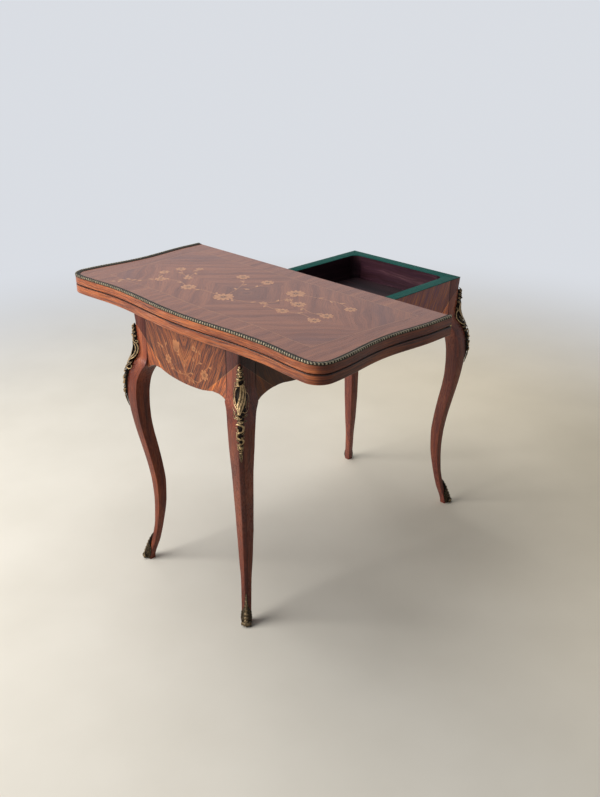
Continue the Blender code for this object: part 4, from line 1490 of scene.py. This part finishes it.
# %% Lines of the knee mount
# The mount's dark ground is wide under the scrolls, where it paints the shadow in their gaps.
mount_backing = ((5, -1.6, 1.6), (26, -3.0, 3.5), (40, -3.0, 6.0), (52, -10.5, 9.0), (64, -12.5, 12.5))
mount_backing += ((78, -10.0, 15.0), (90, -5.0, 13.0), (102, -5.0, 6.0), (118, -3.5, 4.5))
mount_backing += ((140, -3.6, 4.0), (162, -2.4, 2.4), (175, -2.6, 2.6), (190, -1.8, 1.8), (209, -0.8, 0.8))
bud_knobs = ((-0.3, 2.4, 2.2), (-1.0, 7.6, 2.5), (0.9, 12.2, 2.1), (-0.9, 17.0, 2.4), (0.6, 22.0, 2.3))
tier_leaves = (
    ((-1, 14), (-5.0, 7), 4),
    ((-1, 24), (-6.5, 17), 5),
    ((-1, 33), (-8.5, 27), 6),
    ((-1, 40), (-7, 38), 4),
    ((1, 12), (5.5, 4), 4),
    ((1, 21), (7.5, 13), 5),
    ((2, 31), (9, 23), 5),
    ((3, 41), (10.5, 33), 5.5),
)
bud_stem = ((-2, 29, 0.8, 1.7), (-2.8, 36, 0.9, 1.6), (-1, 44, 0.8, 1.5))
high_scroll = ((1.5, 43, 0.8, 1.2), (-4, 44, 1.0, 1.4), (-10.5, 49, 1.4, 1.6), (-14.5, 59, 1.6, 1.7))
high_scroll += ((-14, 70, 1.6, 1.6), (-10, 80, 1.4, 1.5), (-5, 87, 1.0, 1.4), (-2, 94, 0.6, 1.1))
high_inner = ((-3.5, 48, 0.8, 1.0), (-6.8, 55, 1.1, 1.2), (-8.6, 65, 1.2, 1.2))
high_inner += ((-6.5, 76, 1.0, 1.2), (-3, 86, 0.6, 0.9))
high_ear = ((-8, 47, 1.0, 1.0), (-12.5, 43, 1.4, 1.2), (-11, 39.5, 1.8, 1.2), (-8, 41, 2.0, 1.0))
strap_ribs = ((-2.4, 1.1), (0.2, 1.35), (3.0, 1.2))  # how far aside, and how thick
broad_scroll = ((5, 60, 0.6, 1.0), (10, 61, 1.0, 1.3), (15, 67, 1.2, 1.5), (17.5, 77, 1.4, 1.6))
broad_scroll += ((16, 88, 1.4, 1.6), (11, 96, 1.2, 1.5), (5.5, 99, 0.8, 1.2), (2, 96, 0.6, 0.9))
hook = ((-3, 107, 0.6, 1.2), (-8.5, 112, 1.0, 1.4), (-13, 109, 1.2, 1.3))
hook += ((-13.5, 103, 1.4, 1.0), (-11, 102, 1.6, 0.8))
curls = ((-2.2, 108, 3.6, 0.0), (0.6, 117, 3.0, 2.6))  # across, down, size and the first turn
first_coil = ((-4.5, 122, 1.8), (-0.5, 121, 1.9), (3.8, 127, 1.9))
first_coil += ((2.6, 135, 1.8), (-1.8, 137, 1.5), (-2.4, 131, 1.1))
second_coil = ((3.6, 136, 1.4), (-0.5, 138, 1.7), (-4.4, 143, 1.8))
second_coil += ((-3.6, 151, 1.8), (0.8, 154, 1.5), (1.6, 148, 1.1))
third_coil = ((-3.2, 150, 1.3), (0.5, 153, 1.6), (4.0, 158, 1.7), (2.2, 164, 1.4), (-1.2, 163, 1.0))
# each leaf on a coil has its side, how far down it grows, and how far out it reaches
coil_leaves = ((-1, 130, 7.5), (1, 140, 8), (-1, 141, 7), (1, 150, 7.5), (-1, 157, 6.5))
drop_hook = ((0, 165, 0.6, 1.0), (-4.0, 168, 0.8, 1.2), (-6.5, 165, 1.2, 0.9))
drop_loop = ((1.5, 167, 0.8, 1.0), (-3.4, 171, 1.0, 1.3), (-3.2, 179, 1.0, 1.3), (1.2, 184, 0.8, 1.0))
print("the mount's wax is drawn from", len(mount_backing), "rows of ground and the lines above it")

# %% [markdown]
# A cast mount is vaulted. Over the corner of the leg it stands well off the wood, and at its edges it
# lies close to the veneer. A small table of shares gives that vault: how proud it is and how wide it
# spreads, from the foot of the mount (0) to its top (1).

# %% Vault of the knee mount
mount_top, mount_length, mount_stretch = 0.6876, 215.0, 1.04
mount_proud, mount_wing, thin_metal = 14.0, 25.0, 0.8
mount_line_shares = (
    (0.00, 0.12, 0.10),
    (0.08, 0.35, 0.30),
    (0.18, 0.55, 0.44),
    (0.28, 0.70, 0.46),
    (0.36, 0.78, 0.50),
    (0.42, 0.84, 0.62),
    (0.48, 0.90, 0.82),
    (0.56, 1.00, 1.00),
    (0.64, 0.96, 0.96),
    (0.73, 0.80, 0.74),
    (0.83, 0.82, 0.48),
    (0.92, 0.66, 0.34),
    (0.97, 0.64, 0.28),
    (1.00, 0.20, 0.12),
)


def mount_vault(across, down):
    """How far the wax's ground stands off the wood, highest over the corner."""
    share = min(max(1 - down / mount_length, 0.0), 1.0)
    proud, wing = along(mount_line_shares, share)
    slope = max(0.0, 1 - abs(across) / (mount_wing * max(wing, 0.3)))
    return thin_metal + (mount_proud * proud - thin_metal) * slope**1.15


print("the mount's vault, from its top down:", [round(mount_vault(0, down), 1) for down in range(0, 216, 43)])

# %% Knee mount


def strap_rib(offset, radius):
    """One rib of the strap, which runs down beside its fellows and closes in on them below."""
    return (
        (offset * 0.5 + 2.0, 41, 0.8, radius * 0.8),
        (offset + 3.0, 55, 1.3, radius),
        (offset + 1.8, 72, 1.4, radius),
        (offset * 0.8 - 0.3, 88, 1.1, radius * 0.9),
        (offset * 0.3 - 1.5, 102, 0.6, radius * 0.7),
    )


def mount_wax():
    """The mount's parts, flat: across, down and above the ground, in millimetres."""
    wax = fresh_form("relief")
    # A painted shadow: the dark ground shows through the gaps of the pierced work.
    ground(wax, mount_backing)
    for across, down, size in bud_knobs:
        bead(wax, (across, down, 0.8), (size, size * 1.2, size * 0.9))
    bead(wax, (-1.6, 28.0, 1.6), (3.6, 3.0, 2.8))
    for base, tip, wide in tier_leaves:
        blade(wax, (*base, 0.2), (*tip, 0.8), wide, thick=1.3, teeth=2, steps=9)
    for line, steps in ((bud_stem, 9), (high_scroll, 28), (high_inner, 20), (high_ear, 12)):
        bar(wax, line, steps)
    for offset, radius in strap_ribs:
        bar(wax, strap_rib(offset, radius), 20)
    bar(wax, broad_scroll, 28)
    blade(wax, (5, 63, 0.4), (14.5, 50, 0.8), 5, thick=1.3)
    blade(wax, (6, 90, 0.0), (9, 72, 0.8), 4, thick=1.3, teeth=2)
    blade(wax, (-2, 107, 0.4), (-11.5, 90, 1.6), 5.5, teeth=2)
    bar(wax, hook, 20)
    blade(wax, (2, 106, 0.2), (15, 105, 1.0), 5.5, thick=1.3)
    blade(wax, (2, 115, 0.2), (12, 118, 1.0), 5, thick=1.3, teeth=2)
    for across, down, size, start in curls:
        turns = [(start + step * 1.1, size * (1 - step / 9)) for step in range(8)]
        curl = [(*from_centre((across, down), turn, away), 1.4, size * 0.27) for turn, away in turns]
        bar(wax, curl, 26)
        bead(wax, (across, down, 1.6), (size * 0.36,) * 3)
    for coil in (first_coil, second_coil, third_coil):
        bar(wax, [(across, down, 1.2, radius) for across, down, radius in coil], 24)
    for side, down, away in coil_leaves:
        blade(wax, (side * 2, down + 3, 0.2), (side * away, down - 3, 0.8), 4.4, thick=1.2, teeth=2, steps=9)
    bar(wax, drop_hook, 9)
    bead(wax, (0.2, 174, 1.0), (3.2, 5.0, 2.8))
    bar(wax, drop_loop, 14)
    blade(wax, (1.4, 184, 0.4), (3.4, 167, 0.8), 3.5, teeth=2)
    bead(wax, (0, 187, 0.6), (2.4, 1.7, 2.0))
    blade(wax, (0, 186, 0.2), (0, 214.5, 0.1), 5.2, thick=2.4, curl=0.1, teeth=4, steps=15)
    return wax


print("the mount's wax ends", mount_length, "mm down")

# %% Casting the knee mounts


def cast(name, wax, place, vault, top, finish, stretch=1.0):
    """Bends a flat wax round a leg and makes it a bronze piece of the frame."""
    for corner in wax.verts:
        across, down, lift = corner.co
        proud = max(vault(across, down) + lift, 0.15)
        corner.co = wrapped(place, across / 1000, top - down * stretch / 1000, proud / 1000)
    node = name + "_" + place
    piece("cast_" + node, wax, [finish], "frame", [node], sharp=55)


for place in corners:
    cast("knee_mount", mount_wax(), place, mount_vault, mount_top, mount_bronze, mount_stretch)

# %% [markdown]
# A sabot is the bronze shoe of a cabriole foot. Seen from the front it is a slender spike over a round
# body of overlapping scales. Seen from the side it climbs the corner of the leg in knobs, each smaller
# than the one below, and its toe is rolled up like a scroll. The inner faces of the foot stay bare
# wood. It is a separate casting, darker than the mounts. Its tables are of the same kind, but the
# knobs and the toe's roll leave out what is the same for all.

# %% Sabot
sabot_top, toe_down, scale_foot = 0.080, 71.5, 78.5
sabot_backing = ((0.6, -0.8, 0.8), (12, -1.8, 1.8), (27, -3.2, 3.2), (37, -5.0, 5.0), (42, -9.0, 9.0))
sabot_backing += ((48, -14, 14), (58, -16.5, 16.5), (68, -16.5, 16.5), (75, -14, 14), (79.4, -10.5, 10.5))
spike = ((0, 60, 0.4, 2.6), (0, 42, 0.4, 2.5), (0, 26, 0.4, 2.1), (0, 11, 0.2, 1.2), (0, 0.8, 0.2, 0.4))
spike_knobs = ((8.5, 1.5), (17, 2.2), (27, 2.7), (37, 3.0), (47, 3.3), (56, 3.5), (64, 3.5))
# each row of scales has how far down it is, and how far across its scales lie on both sides
scale_rows = ((37, (4.2,)), (44, (4.2, 8.0)), (51, (4.6, 9.0, 13.2)), (58, (5.0, 9.8, 14.4)))
scale_rows += ((65, (6.0, 10.6, 15.0)), (72, (9.0, 13.4)), (78, (9.5,)))
toe_roll = ((-5.6, 3.6, 4.6), (-3, 2.6, 5.4), (0, 1.8, 5.8), (3, 2.6, 5.4), (5.6, 3.6, 4.6))


def sabot_vault(across, down):
    """How far the shoe's ground stands off the wood: little at the sides, much along its ridge."""
    return 0.9 + 5.8 * min(down / 24, 1.0) * max(0.0, 1 - abs(across) / 9)


def sabot_wax():
    """The shoe's parts, flat: across, down and above the ground, in millimetres."""
    wax = fresh_form("relief")
    ground(wax, sabot_backing, 30, -0.6)
    bar(wax, spike, 16)
    for down, size in spike_knobs:
        bead(wax, (0, down, size * 0.45), (size * 0.95, size * 1.3, size * 0.95))
    for down, places in scale_rows:
        for across in places:
            for side in (-1, 1):
                base = (side * (across - 0.6), min(down + 5, scale_foot), 0.0)
                tip = (side * (across + 0.8), down - 4, 0.9)
                blade(wax, base, tip, 4.8, thick=1.5, curl=0.9, teeth=0, steps=8)
    for side in (-1, 1):
        bead(wax, (side * 5.4, toe_down, 4.2), (1.2, 6.4, 5.6))
        bead(wax, (side * 6.4, toe_down, 4.6), (1.3, 2.6, 2.4))
    roll = [(across, toe_down, proud, radius) for across, proud, radius in toe_roll]
    bar(wax, roll, 12, sides=14, squash=0.95)
    for across in (-3.4, 0.0, 3.4):
        bar(wax, ((across, 65, 4.6, 0.6), (across, 71, 7.4, 0.9), (across, 77, 4.8, 0.7)), 8, sides=6)
    return wax


for place in corners:
    cast("sabot", sabot_wax(), place, sabot_vault, sabot_top, sabot_bronze)

# %% [markdown]
# Green baize lines the places that cards touch: the two inner faces of the folding top, and the rim on
# which the open leaf rests, with the rail and the partition that lie level with it. It is a plain
# woollen cloth, milled and raised until its weave is almost hidden. It is laid and glued, so it needs
# no simulation, only a soft edge and a fine nap. The rim's cloth is cut in strips, which meet in
# mitres at the right-hand corners and butt against each other elsewhere.

# %% Baize
baize = Finish("green_baize_nap")
baize_place = baize.space()
nap = baize.cells(baize_place, 0.0009, 3.0, 0.7)
worn = baize.cells(baize_place, 0.05, 3.0)
warp = baize.cells(baize_place, (0.0022, 0.0005, 0.0022), 1.0)
weft = baize.cells(baize_place, (0.0005, 0.0022, 0.0022), 1.0)
baize_colour = baize.ramp(nap, (0.3, (0.003, 0.050, 0.041)), (0.7, (0.007, 0.080, 0.066)))
baize_colour = baize.blend(baize.rise(worn, 0.45, 0.75) * 0.35, baize_colour, (0.016, 0.092, 0.076))
baize.wear(
    Base_Color=baize_colour,
    Roughness=0.92,
    Specular_IOR_Level=0.05,
    Sheen_Weight=0.06,
    Sheen_Roughness=0.5,
    Normal=baize.dent(nap + (warp + weft) * 0.6, 0.0003, 0.8),
)
print("baize has", len(baize.nodes), "nodes")

# %% Cutting and laying cloth
soft_share = 0.35


def cloth(name, outline, low, high, body, node):
    """A laid cloth cut to an outline, with its upper edges rounded by wear."""
    form = prism(outline, low, high)
    rim = [edge for edge in form.edges if all(abs(v.co.z - high) < hair for v in edge.verts)]
    ease(form, rim, (high - low) * soft_share)
    made = piece(name, form, [baize], body, [node])
    xs, ys = zip(*outline)
    area = abs(sum(a[0] * b[1] - b[0] * a[1] for a, b in zip(outline, outline[1:] + outline[:1]))) / 2
    flat = (max(xs) - min(xs), max(ys) - min(ys))
    print("  cut", [round(side * 1000) for side in flat], "mm, area", round(area, 4), "m2")
    return made


# %% Cloths of the rim
cloth_thickness, gap = 0.001, clearance / 2
rail_left, rail_right = -0.1394, -0.0694
partition_left, partition_right = -0.03608, -0.02608
mitre_y = well_y - well_corner_radius * (1 - math.sqrt(0.5))


def rim_cloth(place, outline, support):
    """A strip of the rim's cloth, let down to the rim's height. Its support, the wood that it rests on, is
    not used.
    """
    low = rim_height - cloth_thickness
    return cloth("rim_cloth_" + place, outline, low, rim_height, "frame", "rim_baize")


well = well_outline(0, partition_right)
back_half = well[len(well) // 2 :]
level_bend = [(x, y) for x, y in back_half if y >= mitre_y - hair]
upright_bend = [(x, y) for x, y in back_half if y <= mitre_y + hair]
for place, side in (("front", -1), ("back", 1)):
    strip = [(-half_x, half_y), (half_x, half_y)] + level_bend
    strip += [(partition_right, inner_y), (-post_x, inner_y), (-post_x, post_y), (-inner_x, post_y)]
    rim_cloth(place, [(x, side * y) for x, y in strip], "apron_" + place)
right = [(half_x, gap - half_y), (half_x, half_y - gap)] + upright_bend[::-1]
rim_cloth("right", right + [(x, -y) for x, y in upright_bend], "apron_right")

straight_strips = (
    ("left", "apron_left", -half_x, -inner_x, post_y - gap),
    ("partition", "well_partition", partition_left, partition_right, inner_y - gap),
    ("rail", "pivot_rail", rail_left, rail_right, inner_y - gap),
)
for place, support, low_x, high_x, across in straight_strips:
    strip = [(low_x, -across), (low_x, across), (high_x, across), (high_x, -across)]
    laid = rim_cloth(place, strip, support)
    if place == "rail":
        carve(laid, drilled("pivot_bush", 1))

# %% Cloths of the leaves
playing = in_plan(leaf_line(playing_border + clearance))
bed_depth = half_seam + baize_recess
for name, low, high in (
    ("lower", seam_height - bed_depth + clearance, seam_height - gap),
    ("upper", seam_height + gap, seam_height + bed_depth - clearance),
):
    node, leaf = name + "_baize", leaf_pieces[name]
    cloth(name + "_playing_cloth", playing, low, high, name + "_top", node)

# %% [markdown]
# The remaining pieces have their right shape already: the linings, floor and partition of the well,
# the rail, the hinges and the swivel's ironwork. They keep their measured solids, and only their
# finishes are made here and put into their material slots. The woods come from the same recipe as
# before, with other tones. The well is in shadow and has kept its purple, and the tones of its long
# linings, its bends and its floor are painted darker, a painted shade of the well.

# %% Woods of the pieces that stay
lining_tones = ((0.018, 0.006, 0.012), (0.068, 0.026, 0.040), (0.170, 0.078, 0.090))
# Painted shade: the long linings, the bends and the floor of the well take darker tones.
shaded_tones, floor_tones = dimmed(lining_tones, 0.45), dimmed(lining_tones, 0.16)
beech_tones = ((0.200, 0.115, 0.060), (0.280, 0.170, 0.095), (0.350, 0.220, 0.130))
lining_x = wood("lining_veneer_long", straight("xzy"), shaded_tones, streaks=0.56, size=1.3)
lining_y = wood("lining_veneer_short", straight("yzx"), lining_tones, 0.54, size=0.9, curl=0.5, wild=1.8)
lining_z = wood("lining_veneer_bend", lay_level, shaded_tones, streaks=0.56, size=1.3)
floor_veneer = wood("well_floor_veneer", straight("yxz"), floor_tones, streaks=0.58, gloss=0.5, size=1.4)
beech_x = wood("beech_long", straight("xzy"), beech_tones, streaks=0.9, gloss=0.6)
beech_y = wood("beech_short", straight("yzx"), beech_tones, streaks=0.9, gloss=0.6)
print("lining veneer has", len(lining_x.nodes), "nodes")

# %% [markdown]
# The hinges, the pivot's plate and all the screws are drawn brass, and the pivot turns in a brass bush
# on a leather washer and a brass one. Its bolt and wing nut are wrought iron. None of this has been
# polished for a long time, so a dull bloom lies on the metal in patches, and fine scratches run along
# it. An image of scratches could be painted, but on pieces this small two layers of noise do as well.

# %% Metal and leather of the pieces that stay


def plain_metal(name, bright, dull, gloss):
    """Worn, drawn metal: fine scratches, and a dull bloom in patches."""
    finish = Finish(name)
    place = finish.space()
    bloom = finish.cells(place, 0.008, 4.0, 0.6)
    scratch = finish.cells(place, (0.0004, 0.006, 0.0004), 2.0)
    colour = finish.blend(finish.rise(bloom, 0.35, 0.7), bright, dull)
    rough = gloss + bloom * 0.2 + (scratch - 0.5) * 0.15
    finish.wear(Base_Color=colour, Roughness=rough, Metallic=1.0, Normal=finish.dent(scratch, 0.00008, 0.5))
    return finish


brass = plain_metal("drawn_brass", bright=(0.50, 0.37, 0.16), dull=(0.26, 0.17, 0.07), gloss=0.28)
wrought_iron = plain_metal("wrought_iron", bright=(0.11, 0.10, 0.095), dull=(0.05, 0.035, 0.028), gloss=0.42)
hide = Finish("washer_leather")
hide_grain = hide.cells(hide.space(), 0.0012, 4.0, 0.7)
hide_colour = hide.ramp(hide_grain, (0.3, (0.070, 0.034, 0.016)), (0.7, (0.150, 0.078, 0.040)))
hide.wear(Base_Color=hide_colour, Roughness=0.7, Normal=hide.dent(hide_grain, 0.0003, 0.8))
print("metal has", len(brass.nodes), "nodes, leather", len(hide.nodes))

# %% Dressing the pieces that stay
worn_by = (
    (lining_x, ("well_lining_front", "well_lining_back")),
    (lining_y, ("well_lining_right", "well_partition")),
    (lining_z, ("well_corner_front", "well_corner_back")),
    (floor_veneer, ("well_floor",)),
    (beech_x, ("floor_bearer_front", "floor_bearer_back", "stop_peg")),
    (beech_y, ("glue_block_front", "glue_block_back", "pivot_rail")),
    (wrought_iron, ("pivot_bolt", "wing_nut")),
    (hide, ("leather_washer",)),
)
finish_of = {node: finish for finish, nodes in worn_by for node in nodes}
for node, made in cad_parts.items():
    if made.hide_render:
        continue
    finish = finish_of.get(node, brass)
    for slot in made.material_slots:
        slot.material = finish.material
    print(node, "wears", finish.material.name)
